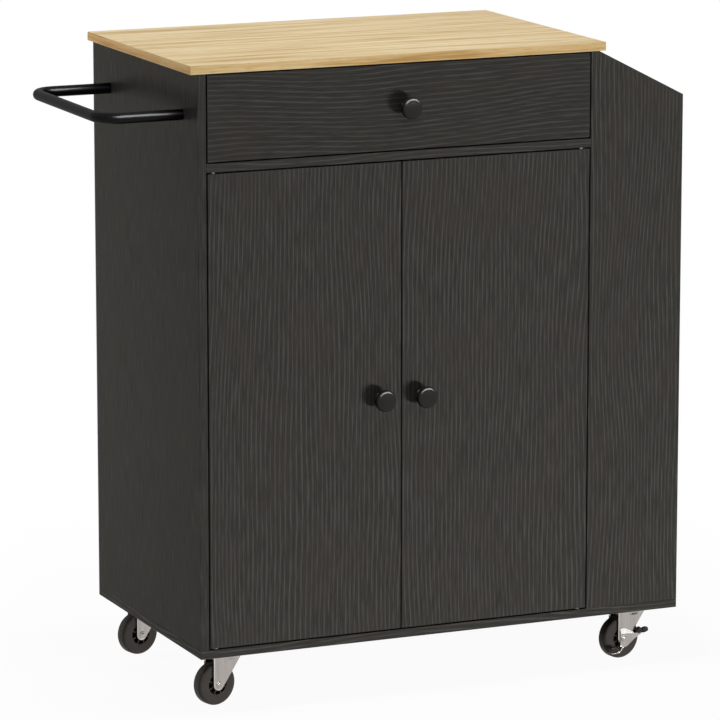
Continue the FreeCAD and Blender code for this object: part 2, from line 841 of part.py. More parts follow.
def rack_panel(label, y):
    """An upright board whose top slopes down to the rack's outer edge."""
    body = new_body(label + "_blank")
    corners = (
        ("inner_right", "base_top"),
        ("rack_end", "base_top"),
        ("rack_end", "body_top - rack_drop"),
        ("cabinet_right", "body_top"),
        ("inner_right", "body_top"),
    )
    pad(body, outline(body, "XZ_Plane", corners), "board", both_ways=True)
    ease(body, "arris")
    return place(body, y=f"{y} + board / 2")


def guard_rails():
    """Round rails between the rack panels, one above each tier."""
    rails = []
    for number, level in enumerate(("base_top", "rack_lower + board", "rack_upper + board"), start=1):
        rails.append(rod(
            f"guard_rail_{number}", "guard_rail_diameter / 2",
            "cabinet_depth - 2 * board + 2 * guard_rail_socket",
            x="rail_line", y="behind_fronts - guard_rail_socket", z=f"{level} + guard_rail_rise", aim=Y_AXIS,
        ))
    return group("rack_guard_rails", rails)


def rack_shelf(label, level, tools):
    blank = panel(label + "_blank", "cabinet_right", "behind_fronts", level,
                  "rack_width - rack_shelf_setback", "cabinet_depth - 2 * board", "board")
    return cut(label, blank, tools)


# Drawer

def drawer_nodes():
    """The drawer front and the box behind it, which holds the bottom in grooves."""
    screw = knob_screw("drawer_knob_screw", "drawer_knob", "drawer_middle")
    floor = box("drawer_bottom", "drawer_left + board - drawer_groove", "behind_fronts - drawer_groove",
                "drawer_floor", "drawer_right - drawer_left - 2 * board + 2 * drawer_groove",
                "drawer_side_length + drawer_groove", "drawer_bottom_thickness")
    front = panel("drawer_front_blank", "left_door_edge", "front", "drawer_front_bottom",
                  "right_door_edge - left_door_edge", "board", "drawer_front_height")
    sides = []
    for label, x in (("drawer_left_side", "drawer_left"), ("drawer_right_side", "drawer_right - board")):
        blank = panel(label + "_blank", x, "behind_fronts", "drawer_side_bottom",
                      "board", "drawer_side_length", "drawer_side_height")
        sides.append(cut(label, blank, [floor]))
    back = panel("drawer_back", "drawer_left + board", "drawer_end - board", "drawer_floor_top",
                 "drawer_right - drawer_left - 2 * board", "board",
                 "drawer_side_bottom + drawer_side_height - drawer_floor_top")
    return [screw, floor, cut("drawer_front", front, [screw, floor]), *sides, back]


def channel(label, depth_start, depth_end, half_height, sheet, length):
    """A C-shaped rail, upright, its web at the start of its depth, centred along its length."""
    inner = f"{half_height} - {sheet}"
    web = f"{depth_start} + {sheet}" if depth_end.startswith("+") else f"{depth_start} - {sheet}"
    tip = f"{depth_start} {depth_end}"
    body = new_body(label)
    corners = (
        (depth_start, f"-({half_height})"),
        (tip, f"-({half_height})"),
        (tip, f"-({inner})"),
        (web, f"-({inner})"),
        (web, inner),
        (tip, inner),
        (tip, half_height),
        (depth_start, half_height),
    )
    pad(body, outline(body, "XZ_Plane", corners), length, both_ways=True)
    return body


def both_sides(label, master, y):
    """A pair of runners: the left one, and the same turned half round for the right."""
    left = copy_of(master, label + "_left", x="inner_left", y=y, z="runner_line")
    right = copy_of(master, label + "_right", x="inner_right", y=y, z="runner_line", turn="180")
    return group(label, [left, right])


def ball_cages():
    """Cages that keep the balls apart between the two members of each runner."""
    sheet = channel("cage_sheet_shape", "runner_sheet + cage_web_gap", "+ runner_flange - cage_web_gap",
                    "ball_line + cage_sheet / 2", "cage_sheet", "cage_length")
    pockets = []
    balls = []
    for step in range(BALLS_PER_ROW):
        y = f"cage_length * ({2 * step + 1} / {2 * BALLS_PER_ROW} - 1 / 2)"
        pockets.append(rod(f"ball_pocket_{step}", "ball_radius + ball_play", "runner_height",
                           x="ball_depth", y=y, z="-runner_height / 2"))
        for row, z in (("upper", "ball_line"), ("lower", "-ball_line")):
            ball = doc.addObject("Part::Sphere", f"{row}_ball_{step}")
            bind(ball, Radius="ball_radius")
            balls.append(place(ball, "ball_depth", y, z))
    cage = cut("cage_shape", sheet, [group("ball_pockets", pockets)])
    return both_sides("ball_cages", group("cage_with_balls", [cage, *balls]), "cage_middle")


# Casters

def corner_place(corner, along="0", across="0"):
    """A place on a caster: along its trail and across it, from its kingpin."""
    depth, side = corner.split("_")
    yaw = f"{corner}_yaw"
    return {
        "x": f"{side}_line + ({along}) * cos({yaw}) - ({across}) * sin({yaw})",
        "y": f"{depth}_line + ({along}) * sin({yaw}) + ({across}) * cos({yaw})",
    }


def caster_plates():
    """Mounting plates, each with the raised race that its fork turns on."""
    body = new_body("caster_plate_shape")
    plate = rectangle(body, "XY_Plane", "-plate_length / 2", "-plate_depth / 2",
                      "plate_length / 2", "plate_depth / 2")
    pad(body, plate, "plate_sheet")
    ease(body, "plate_corner", lambda edge: abs(edge.Length - value("plate_sheet")) < Part.Precision.confusion())
    race = circle(body, "XY_Plane", "race_diameter / 2")
    pad(body, race, "race_height").Reversed = True
    pocket(body, circle(body, "XY_Plane", "kingpin_diameter / 2"), "2 * caster_height")
    spots = [dict(corner_place(corner), z="plate_bottom") for corner in CASTER_CORNERS]
    return repeat("caster_plates_blank", body, spots)


def caster_screws():
    """Screws up through the caster plates into the base board."""
    master = screw_shape("caster_screw_shape", "caster_screw_diameter", "plate_sheet + caster_screw_length",
                         "caster_screw_head", "caster_screw_head_height")
    spots = []
    for corner in CASTER_CORNERS:
        depth, side = corner.split("_")
        for along in ("-", "+"):
            for across in ("-", "+"):
                spots.append(spot(f"{side}_line {along} caster_screw_pitch_along / 2",
                                  f"{depth}_line {across} caster_screw_pitch_across / 2", "plate_bottom"))
    return repeat("caster_screws", master, spots)


def kingpins():
    """Headed pins, fixed in the plates, that hold the forks and let them turn."""
    profile = (
        ("0", "-kingpin_head_height"),
        ("kingpin_head / 2", "-kingpin_head_height"),
        ("kingpin_head / 2", "0"),
        ("kingpin_diameter / 2", "0"),
        ("kingpin_diameter / 2", "caster_height - kingpin_seat"),
        ("0", "caster_height - kingpin_seat"),
    )
    master = turned("kingpin_shape", "XZ_Plane", profile)
    spots = [dict(corner_place(corner), z="kingpin_seat") for corner in CASTER_CORNERS]
    return repeat("caster_kingpins", master, spots)


def leg_outline(body):
    """A fork leg from the side: round at the axle, upright behind, sloping out to the crown."""
    radius = value("fork_end_radius")
    reach = value("caster_trail + fork_front_reach")
    rise = value("crown_top - wheel_radius")
    tilt = math.atan2(rise, reach) - math.acos(radius / math.hypot(reach, rise))
    vector = FreeCAD.Vector
    touch = vector(radius * math.cos(tilt), radius * math.sin(tilt), 0)
    sketch = new_sketch(body, "XZ_Plane")
    sketch.addGeometry(Part.LineSegment(vector(-radius, 0, 0), vector(-radius, rise, 0)))
    sketch.addGeometry(Part.LineSegment(vector(-radius, rise, 0), vector(reach, rise, 0)))
    sketch.addGeometry(Part.LineSegment(vector(reach, rise, 0), touch))
    end = Part.Circle(vector(0, 0, 0), Z_AXIS, radius)
    sketch.addGeometry(Part.ArcOfCircle(end, math.pi, 2 * math.pi + tilt))
    sketch.addConstraint(Sketcher.Constraint("Coincident", 0, 2, 1, 1))
    sketch.addConstraint(Sketcher.Constraint("Coincident", 1, 2, 2, 1))
    sketch.addConstraint(Sketcher.Constraint("Coincident", 3, 3, *ORIGIN))
    sketch.addConstraint(Sketcher.Constraint("Tangent", 2, 2, 3, 2))
    sketch.addConstraint(Sketcher.Constraint("Tangent", 3, 1, 0, 1))
    sketch.addConstraint(Sketcher.Constraint("Vertical", 0))
    sketch.addConstraint(Sketcher.Constraint("Horizontal", 1))
    number = sketch.addConstraint(Sketcher.Constraint("Radius", 3, radius))
    bind(sketch, **{f"Constraints[{number}]": "fork_end_radius"})
    pin_point(sketch, 1, 2, "caster_trail + fork_front_reach", "crown_top - wheel_radius")
    return sketch


def fork_shape():
    """A pressed fork about its axle: two legs folded down from a crown that the kingpin holds."""
    body = new_body("fork_shape")
    pad(body, leg_outline(body), "2 * leg_outside", both_ways=True)
    inside = rectangle(body, "YZ_Plane", "-leg_inside", "-2 * fork_end_radius",
                       "leg_inside", "crown_bottom - wheel_radius")
    pocket(body, inside, "2 * overall_width")
    pocket(body, circle(body, "XZ_Plane", "axle_diameter / 2"), "2 * overall_width")
    crown = circle(body, "XY_Plane", "fork_crown_diameter / 2", "caster_trail", "0")
    bind(crown, AttachmentOffset__Base__z="crown_bottom - wheel_radius")
    pad(body, crown, "fork_sheet")
    pin_hole = circle(body, "XY_Plane", "kingpin_diameter / 2 + kingpin_play", "caster_trail", "0")
    pocket(body, pin_hole, "2 * overall_width")
    return body


def wheel_shape():
    """A moulded wheel that turns about Y: a rim, a hub, a thin web and spokes on both sides."""
    half = "wheel_width / 2"
    hub = "leg_inside - hub_gap"
    rim_profile = (
        ("axle_diameter / 2 + axle_play", f"-({hub})"),
        ("hub_diameter / 2", f"-({hub})"),
        ("hub_diameter / 2", "-wheel_web / 2"),
        ("wheel_recess_diameter / 2", "-wheel_web / 2"),
        ("wheel_recess_diameter / 2", f"-{half}"),
        ("wheel_radius", f"-{half}"),
        ("wheel_radius", half),
        ("wheel_recess_diameter / 2", half),
        ("wheel_recess_diameter / 2", "wheel_web / 2"),
        ("hub_diameter / 2", "wheel_web / 2"),
        ("hub_diameter / 2", hub),
        ("axle_diameter / 2 + axle_play", hub),
    )
    body = turned("wheel_shape", "XY_Plane", rim_profile)
    ease(body, "wheel_rounding", round_edge_of("wheel_radius"))
    spoke = rectangle(body, "XZ_Plane", "hub_diameter / 2 - spoke_setback", "-spoke_width / 2",
                      "wheel_recess_diameter / 2 + spoke_setback", "spoke_width / 2")
    first = pad(body, spoke, "wheel_width - 2 * spoke_setback", both_ways=True)
    ring = body.newObject("PartDesign::PolarPattern", "wheel_spokes")
    ring.Originals = [first]
    ring.Axis = (spoke, ["N_Axis"])
    ring.Angle = 360
    ring.Occurrences = SPOKES
    body.Tip = ring
    return body


def axle_shape(label, near_seat):
    """A riveted axle along Y, with a round head outside each leg or lever."""
    profile = (
        ("0", f"-({near_seat}) - axle_head_height"),
        ("axle_head / 4", f"-({near_seat}) - axle_head_height"),
        ("axle_head / 2", f"-({near_seat}) - axle_head_height / 2"),
        ("axle_head / 2", f"-({near_seat})"),
        ("axle_diameter / 2", f"-({near_seat})"),
        ("axle_diameter / 2", "leg_outside"),
        ("axle_head / 2", "leg_outside"),
        ("axle_head / 2", "leg_outside + axle_head_height / 2"),
        ("axle_head / 4", "leg_outside + axle_head_height"),
        ("0", "leg_outside + axle_head_height"),
    )
    return turned(label, "XY_Plane", profile)


def arm(body, start_radius, end_radius, reach, angle):
    """A tapered arm with a round end, swung from the body's X axis by an angle."""
    for radius, across in ((end_radius, reach), (start_radius, "0")):
        x = f"{across} * cos({angle})"
        y = f"{across} * sin({angle})"
        pad(body, circle(body, "XZ_Plane", radius, x, y), "lever_sheet", both_ways=True)
    corners = []
    for across, radius, sign in (("0", start_radius, "-"), (reach, end_radius, "-"),
                                 (reach, end_radius, "+"), ("0", start_radius, "+")):
        x = f"{across} * cos({angle}) {'+' if sign == '-' else '-'} {radius} * sin({angle})"
        y = f"{across} * sin({angle}) {sign} {radius} * cos({angle})"
        corners.append((x, y))
    pad(body, outline(body, "XZ_Plane", corners), "lever_sheet", both_ways=True)


def lever_shape():
    """A brake lever about its axle: a plate with a pedal, a release tongue and a brake pad."""
    body = new_body("lever_plate_shape")
    arm(body, "lever_boss_radius", "pedal_arm_radius", "pedal_reach", "pedal_angle")
    arm(body, "lever_boss_radius", "tongue_arm_radius", "tongue_reach", "tongue_angle")
    pocket(body, circle(body, "XZ_Plane", "axle_diameter / 2 + axle_play"), "2 * overall_width")
    pedal = new_body("pedal_shape")
    pad(pedal, rectangle(pedal, "XZ_Plane", "-pedal_length / 2", "-pedal_height / 2",
                         "pedal_length / 2", "pedal_height / 2"), "pedal_width", both_ways=True)
    ease(pedal, "pedal_rounding")
    place(pedal, x="(pedal_reach + pedal_length / 2 - pedal_overhang) * cos(pedal_angle)",
          y="pedal_overhang - pedal_width / 2",
          z="(pedal_reach + pedal_length / 2 - pedal_overhang) * sin(pedal_angle)")
    tongue_x = "tongue_reach * cos(tongue_angle)"
    tongue_z = "tongue_reach * sin(tongue_angle)"
    tongue = box("tongue_shape", f"{tongue_x} - tongue_arm_radius", "-tongue_width",
                 f"{tongue_z} - tongue_arm_radius", "2 * tongue_arm_radius", "tongue_width", "lever_sheet")
    pad_reach = "leg_outside + lever_gap + lever_sheet / 2 - wheel_width / 2 - pad_gap"
    brake_pad = rod("brake_pad_shape", "pad_diameter / 2", pad_reach, x=tongue_x, z=tongue_z, aim=Y_AXIS)
    return fuse("lever_shape", [body, pedal, tongue, brake_pad])


def caster_nodes():
    """The turning pieces of each caster, each one a node."""
    fork = fork_shape()
    wheel = wheel_shape()
    plain_axle = axle_shape("plain_axle_shape", "leg_outside")
    braked_axle = axle_shape("braked_axle_shape", "lever_outside + lever_gap")
    lever = lever_shape()
    nodes = []
    for corner in CASTER_CORNERS:
        turn = {"z": "wheel_radius", "turn": f"{corner}_yaw"}
        at_axle = dict(corner_place(corner, along="-caster_trail"), **turn)
        braked = corner in BRAKED_CORNERS
        nodes.append(copy_of(fork, f"{corner}_fork", **at_axle))
        nodes.append(copy_of(wheel, f"{corner}_wheel", **at_axle))
        nodes.append(copy_of(braked_axle if braked else plain_axle, f"{corner}_axle", **at_axle))
        if braked:
            beside = corner_place(corner, "-caster_trail", "lever_sheet / 2 - lever_outside")
            nodes.append(copy_of(lever, f"{corner}_brake_lever", **beside, **turn))
    return nodes


def door_nodes(side, x, hinge, knob_x, strike_x, knob):
    """A door with its knob, knob screw, pivot pins and strike plate."""
    label = f"{side}_door"
    pins = door_pins(f"{label}_pins", hinge)
    screw = knob_screw(f"{label}_knob_screw", knob_x, "door_middle")
    blank = panel(label + "_blank", x, "front", "door_bottom", "door_width", "board", "door_height")
    return [
        cut(label, blank, [pins, screw]),
        copy_of(knob, f"{label}_knob", x=knob_x, y="front", z="door_middle"),
        screw,
        pins,
        strike_plate(f"{side}_strike_plate", strike_x),
    ]


def build():
    """Every node of the island."""
    locks, bolts, seats = cam_fittings()
    pegs = dowels()
    floor_screws = base_screws()
    nails = back_nails()
    towel_screws = bar_screws()
    slide_screws = runner_screws()
    bushes, bush_seats = hinge_bushes()
    holes = pin_holes()
    plate_screws = caster_screws()
    rails = guard_rails()
    joints = [seats, bolts, pegs]
    knob = knob_shape()
    top = panel("worktop_blank", "cabinet_left - worktop_overhang", "front", "body_top",
                "cabinet_width + 2 * worktop_overhang", "cabinet_depth", "worktop_thickness")
    left = panel("left_side_panel_blank", "cabinet_left", "front", "base_top",
                 "board", "cabinet_depth", "panel_height")
    right = panel("right_side_panel_blank", "inner_right", "behind_fronts", "base_top",
                  "board", "cabinet_depth - 2 * board", "panel_height")
    base = panel("base_board_blank", "cabinet_left", "front", "caster_height",
                 "cabinet_width + rack_width", "cabinet_depth", "board")
    divider = panel("divider_board_blank", "inner_left", "front", "divider_bottom",
                    "inner_width", "cabinet_depth", "board")
    skin = panel("back_panel_blank", "cabinet_left", "back", "caster_height",
                 "cabinet_width", "back_panel_thickness", "body_height")
    rack_front = rack_panel("rack_front_panel", "front")
    rack_back = rack_panel("rack_back_panel", "back - board")
    runner = channel("runner_shape", "0", "+ runner_flange", "runner_height / 2", "runner_sheet",
                     "runner_length")
    slide = channel("slide_shape", "runner_space", "- slide_flange", "slide_height / 2", "runner_sheet",
                    "runner_length")
    nodes = [
        cut("worktop", top, [bolts, pegs]),
        cut("left_side_panel", left, [*joints, floor_screws, nails, towel_screws, slide_screws, holes]),
        cut("right_side_panel", right, [*joints, floor_screws, slide_screws, holes]),
        cut("base_board", base, [floor_screws, nails, bush_seats, plate_screws]),
        cut("divider_board", divider, [*joints, nails, bush_seats]),
        cut("back_panel", skin, [nails]),
        cut("rack_front_panel", rack_front, [bolts, pegs, floor_screws, rails]),
        cut("rack_back_panel", rack_back, [bolts, pegs, floor_screws, rails, nails]),
        rack_shelf("rack_lower_shelf", "rack_lower", joints),
        rack_shelf("rack_upper_shelf", "rack_upper", joints),
        panel("adjustable_shelf", "inner_left + shelf_side_gap", "front + shelf_setback", "shelf_bottom",
              "inner_width - 2 * shelf_side_gap", "cabinet_depth - shelf_setback", "board"),
        shelf_pins(),
        rails,
        towel_bar(towel_screws),
        towel_screws,
        bushes,
        magnetic_catch(),
        locks,
        bolts,
        pegs,
        floor_screws,
        nails,
        cut("cabinet_runners", both_sides("cabinet_runners_blank", runner, "runner_middle"), [slide_screws]),
        slide_screws,
        cut("caster_plates", caster_plates(), [plate_screws]),
        kingpins(),
        plate_screws,
        *door_nodes("left", "left_door_edge", "left_hinge", "left_knob",
                    "left_door_edge + door_width - strike_inset - strike_width", knob),
        *door_nodes("right", "right_door_edge - door_width", "right_hinge", "right_knob",
                    "right_door_edge - door_width + strike_inset", knob),
        *drawer_nodes(),
        copy_of(knob, "drawer_knob", x="drawer_knob", y="front", z="drawer_middle"),
        both_sides("drawer_runners", slide, "runner_middle"),
        ball_cages(),
        *caster_nodes(),
    ]
    return nodes


def check_and_write(nodes):
    """Stop on any object that failed, then write each node to its own file."""
    doc.recompute()
    failed = [each.Label for each in doc.Objects if {"Invalid", "Error"} & set(each.State)]
    if failed:
        raise RuntimeError("failed objects: " + ", ".join(failed))
    for node in nodes:
        shape = Part.getShape(node)
        if shape.isNull() or not shape.isValid() or not shape.Solids:
            raise RuntimeError("no valid solid in " + node.Label)
        shape.exportStep(f"parts/{node.Label}.step")
        print(node.Label, len(shape.Solids), round(shape.Volume))


check_and_write(build())
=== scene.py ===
import json
import math

import bmesh
import bpy
from mathutils import Matrix, Vector


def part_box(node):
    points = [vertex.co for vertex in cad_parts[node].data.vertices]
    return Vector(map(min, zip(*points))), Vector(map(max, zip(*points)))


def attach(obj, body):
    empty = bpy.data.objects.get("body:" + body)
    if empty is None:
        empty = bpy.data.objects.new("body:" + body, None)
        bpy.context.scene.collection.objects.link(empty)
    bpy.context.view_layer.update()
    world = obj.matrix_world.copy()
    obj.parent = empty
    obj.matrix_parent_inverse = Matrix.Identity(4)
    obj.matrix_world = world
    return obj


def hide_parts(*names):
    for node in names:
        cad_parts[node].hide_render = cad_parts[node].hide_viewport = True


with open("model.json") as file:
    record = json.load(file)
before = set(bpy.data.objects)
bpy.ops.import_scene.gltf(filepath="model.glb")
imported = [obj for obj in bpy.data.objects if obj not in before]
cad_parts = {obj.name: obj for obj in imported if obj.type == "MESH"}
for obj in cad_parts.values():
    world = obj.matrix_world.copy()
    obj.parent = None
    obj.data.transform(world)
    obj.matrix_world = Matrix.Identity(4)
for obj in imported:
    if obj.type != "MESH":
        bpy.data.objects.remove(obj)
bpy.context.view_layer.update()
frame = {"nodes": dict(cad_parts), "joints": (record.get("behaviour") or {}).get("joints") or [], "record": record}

bl_info = {
    "name": "Kitchen island finish",
    "version": (1, 0, 0),
    "blender": (4, 5, 0),
    "location": "3D View > Sidebar > Island",
    "description": "Finishes the boards, fittings and casters of a rolling kitchen island",
    "category": "Object",
}

MM = 0.001
NODES = frame["nodes"]
JOINTS = {joint["name"]: joint for joint in frame["joints"]}
SLOTS = {entry["node"]: entry["material_slot"] for entry in frame["record"]["subparts"]}
CORNERS = ("front_left", "front_right", "back_left", "back_right")
BRAKED = ("front_right", "back_right")

# Points that lie closer together than this are one point.
TOUCHING = 0.01 * MM
# Faces shade apart where they turn by more than this.
SHARP_FROM = math.radians(35)
# Edges are rounded where the faces turn by more than this.
EASED_FROM = math.radians(50)
KNOBS = {"left_door_knob": "left_door", "right_door_knob": "right_door", "drawer_knob": "drawer"}

# Each board's grain runs along the first axis, its width along the second and its thickness along the third.
UPRIGHT_FRONT = "ZXY"
UPRIGHT_SIDE = "ZYX"
LYING_FRONT = "XZY"
LYING_FLAT = "XYZ"
LYING_DEEP = "YXZ"
LYING_SIDE = "YZX"
BOARDS = {
    "left_side_panel": UPRIGHT_SIDE,
    "right_side_panel": UPRIGHT_SIDE,
    "rack_front_panel": UPRIGHT_FRONT,
    "rack_back_panel": UPRIGHT_FRONT,
    "left_door": UPRIGHT_FRONT,
    "right_door": UPRIGHT_FRONT,
    "drawer_front": LYING_FRONT,
    "drawer_back": LYING_FRONT,
    "drawer_left_side": LYING_SIDE,
    "drawer_right_side": LYING_SIDE,
    "base_board": LYING_FLAT,
    "divider_board": LYING_FLAT,
    "adjustable_shelf": LYING_FLAT,
    "rack_lower_shelf": LYING_DEEP,
    "rack_upper_shelf": LYING_DEEP,
}


def linear(code):
    """An sRGB hex colour as the linear colour that a shader takes."""
    parts = [int(code[i:i + 2], 16) / 255 for i in (1, 3, 5)]
    return (*(p / 12.92 if p <= 0.04045 else ((p + 0.055) / 1.055) ** 2.4 for p in parts), 1.0)


def colour_of(name, description, code):
    """A colour that the user can change."""
    return bpy.props.FloatVectorProperty(
        name=name, description=description, default=linear(code), size=4, min=0, max=1, subtype="COLOR")


def length_of(name, description, default):
    """A length that the user can change."""
    return bpy.props.FloatProperty(name=name, description=description, default=default, min=0, unit="LENGTH")


def angle_of(name, description, degrees):
    """An angle that the user can change."""
    return bpy.props.FloatProperty(
        name=name, description=description, default=math.radians(degrees), unit="ROTATION")


def amount_of(name, description, default):
    """A plain number that the user can change."""
    return bpy.props.FloatProperty(name=name, description=description, default=default, min=0)


class IslandLaminate(bpy.types.PropertyGroup):
    """Black ash laminate of the cabinet, the doors and the rack."""
    body: colour_of("Body", "Black of the laminate between its grain lines", "#393835")
    light: colour_of("Grain light", "Grey of the raised grain lines", "#4A4945")
    dark: colour_of("Grain dark", "Black of the open pores", "#32312E")
    warm: colour_of("Warm patch", "Brown tint of the print's slow patches", "#3E3935")
    # Partly painted highlight: the trimmed arrises lose the print, and their grey is made paler still for the
    # light that the rounded edges catch.
    arris: colour_of("Arris", "Grey of the trimmed edges of the edge tape", "#565551")
    line_pitch: length_of("Grain pitch", "Distance from one grain line to the next", 6.4 * MM)
    wave_length: length_of("Wave length", "How far a grain line runs before it bends back", 460 * MM)
    wave_width: length_of("Wave width", "How wide a group of lines bends together", 170 * MM)
    wave_depth: length_of("Wave depth", "How far the lines bend aside", 42 * MM)
    wiggle_length: length_of("Wiggle length", "How long a small kink in a grain line is", 55 * MM)
    wiggle_width: length_of("Wiggle width", "How wide a group of lines kinks together", 10 * MM)
    wiggle_depth: length_of("Wiggle depth", "How far the small kinks reach aside", 1.8 * MM)
    break_length: length_of("Break length", "How far a line runs before it fades", 60 * MM)
    break_width: length_of("Break width", "How wide a fading stretch is", 5 * MM)
    fibre_length: length_of("Fibre length", "Length of the fine fibres between the lines", 36 * MM)
    fibre_width: length_of("Fibre width", "Width of a fine fibre", 1.6 * MM)
    patch_length: length_of("Patch length", "Length of the print's slow patches", 110 * MM)
    patch_width: length_of("Patch width", "Width of the print's slow patches", 45 * MM)
    emboss: length_of("Emboss", "Depth of the pressed grain", 0.05 * MM)
    edge: length_of("Edge radius", "Radius of the board's edges", 0.8 * MM)
    # Painted shade: the drawer front's laminate is drawn darker than the other boards, for the shade that falls on
    # it.
    drawer_painted_shade: amount_of("Drawer tone", "Brightness of the drawer front's sheet against the others", 0.88)
    side_relief: amount_of("Side relief", "Strength of the grain lines on the side panels", 0.35)


class IslandOak(bpy.types.PropertyGroup):
    """Light oak laminate of the worktop."""
    body: colour_of("Body", "Main colour of the oak", "#D8C094")
    light: colour_of("Light streak", "Pale streaks between the rings", "#E6D3AC")
    dark: colour_of("Dark streak", "Late wood of the rings", "#BC9B67")
    pore: colour_of("Pore", "Short dark pores", "#B3925F")
    # Painted shade: these tints darken the worktop's edges against its top, the two ends more than the front, for
    # the shade that falls on them.
    tape: colour_of("Front tape", "Tint of the front edge's tape over the same grain", "#F8EDDA")
    end_edge_shade: colour_of("End tape", "Tint of the browner tape on the two ends", "#E4D3BD")
    ring_width: length_of("Ring width", "Distance from one streak to the next", 12 * MM)
    ring_length: length_of("Ring length", "How far a streak runs", 330 * MM)
    pore_width: length_of("Pore width", "Width of a pore", 1.3 * MM)
    pore_length: length_of("Pore length", "Length of a pore", 26 * MM)
    emboss: length_of("Emboss", "Depth of the pressed rings", 0.05 * MM)
    edge: length_of("Edge radius", "Radius of the worktop's edges", 0.7 * MM)


class IslandFittings(bpy.types.PropertyGroup):
    """Knobs, towel bar, rails and small fittings."""
    enamel: colour_of("Enamel", "Gloss powder coat of the towel bar and rails", "#0C0C0C")
    knob: colour_of("Knob", "Satin powder coat of the knobs", "#22201D")
    zinc: colour_of("Zinc", "Bright zinc plate", "#A9A49F")
    # Painted highlight: the rims are drawn paler than the flat sheet, for the light that their rounding catches.
    zinc_rim_highlight: colour_of("Zinc rim", "Zinc plate burnished over the rolled rims", "#C6C2BD")
    # Painted highlight: the shoulders' sloping face is drawn near white, for the light that it catches from above.
    shoulder_highlight: colour_of("Polished zinc", "Zinc plate rubbed bright on the brake levers' shoulders", "#F4F2EE")
    # Painted highlight: the pins are drawn near white, so that they show as bright dots in the doors' shaded gaps.
    pin: colour_of("Pin", "Pale blasted steel of the hinge pins", "#F2F0EC")
    cast: colour_of("Cast zinc", "Die-cast zinc of the cam locks", "#A9A8A5")
    nylon: colour_of("Nylon", "Moulded nylon of the hinge bushes", "#DAD7CE")
    catch: colour_of("Catch", "Moulded plastic of the magnetic catch", "#3A3733")
    hardboard: colour_of("Hardboard", "Painted face of the thin panels", "#353331")
    beech: colour_of("Beech", "Raw beech of the dowels", "#CFAE82")
    knob_foot: length_of("Foot diameter", "Diameter of the knob's foot", 15 * MM)
    knob_foot_height: length_of("Foot height", "Height of the knob's foot", 2.5 * MM)
    knob_foot_edge: length_of("Foot edge", "Radius round the edge of the knob's foot", 0.6 * MM)
    knob_neck: length_of("Neck diameter", "Diameter of the knob's neck", 12 * MM)
    knob_head_height: length_of("Head height", "Thickness of the knob's head", 9 * MM)
    knob_under: length_of("Under rounding", "Radius round the underside of the head's edge", 0.8 * MM)
    knob_rim: length_of("Rim rounding", "Radius from the head's side over to its face", 5 * MM)
    knob_dome: length_of("Face dome", "How far the middle of the face swells out", 1.2 * MM)
    bar_bend: length_of("Bar bend", "Radius of the towel bar's bends, at the tube's middle", 30 * MM)
    bar_wall: length_of("Bar wall", "Thickness of the towel bar's tube", 1.5 * MM)


class IslandCasters(bpy.types.PropertyGroup):
    """Forks, wheels, rivets and brake levers, measured from the axle."""
    plastic: colour_of("Wheel", "Moulded polypropylene of the wheels", "#3D3936")
    pedal_plastic: colour_of("Pedal", "Moulded caps of the brake levers", "#2E2A28")
    sheet: length_of("Fork sheet", "Thickness of the pressed steel", 2 * MM)
    sheet_edge: length_of("Sheet edge", "Radius round the cut edges of forks and levers", 0.5 * MM)
    leg_outside: length_of("Leg outside", "From the wheel's middle to a leg's outer face", 13 * MM)
    end_radius: length_of("Leg end", "Radius of a leg's round end", 8.3 * MM)
    front_reach: length_of("Front reach", "How far the crown reaches past the kingpin", 23 * MM)
    crown_radius: length_of("Crown radius", "Radius of the round crown above the legs", 20 * MM)
    crown_bend: length_of("Crown bend", "Outer radius of the bend from crown to leg", 4.5 * MM)
    flare_start: length_of("Flare start", "Height above the axle where the legs start to swell", 31 * MM)
    rim_width: length_of("Rim width", "Width of the legs' rounded rim", 2.6 * MM)
    rim_drop: length_of("Rim drop", "How far the rim curls in towards the wheel", 1.5 * MM)
    wheel_half: length_of("Wheel half", "Half the wheel's width", 9 * MM)
    shoulder: length_of("Shoulder", "Radius round the edge of the tread", 4.6 * MM)
    recess: length_of("Recess", "Radius of the wheel's recess", 14.5 * MM)
    hub: length_of("Hub", "Radius of the wheel's hub", 7 * MM)
    hub_half: length_of("Hub half", "Half the hub's length", 10.7 * MM)
    web: length_of("Web", "Half the thickness of the wheel's web", 2 * MM)
    spoke: length_of("Spoke", "Thickness of a spoke", 1.6 * MM)
    spoke_inset: length_of("Spoke inset", "How far a spoke's edge lies below the wheel's face", 0.4 * MM)
    lip: length_of("Lip", "Radius round the edges of the hub and the recess", 0.8 * MM)
    bore_gap: length_of("Bore gap", "Gap between the axle and the wheel's bore", 0.05 * MM)
    axle: length_of("Axle", "Radius of the riveted axle", 3 * MM)
    rivet: length_of("Rivet", "Radius of the rivet's flat head", 4.75 * MM)
    rivet_height: length_of("Rivet height", "Height of the rivet's dome", 1.8 * MM)
    lever_sheet: length_of("Lever sheet", "Thickness of the brake lever", 1.5 * MM)
    lever_gap: length_of("Lever gap", "Gap between the lever and what lies beside it", 0.3 * MM)
    tongue_step: length_of("Tongue step", "How far the release tongue stands out over the plate", 6 * MM)
    shoulder_step: length_of("Shoulder step", "How far the shoulder stands out over its plate", 1.7 * MM)


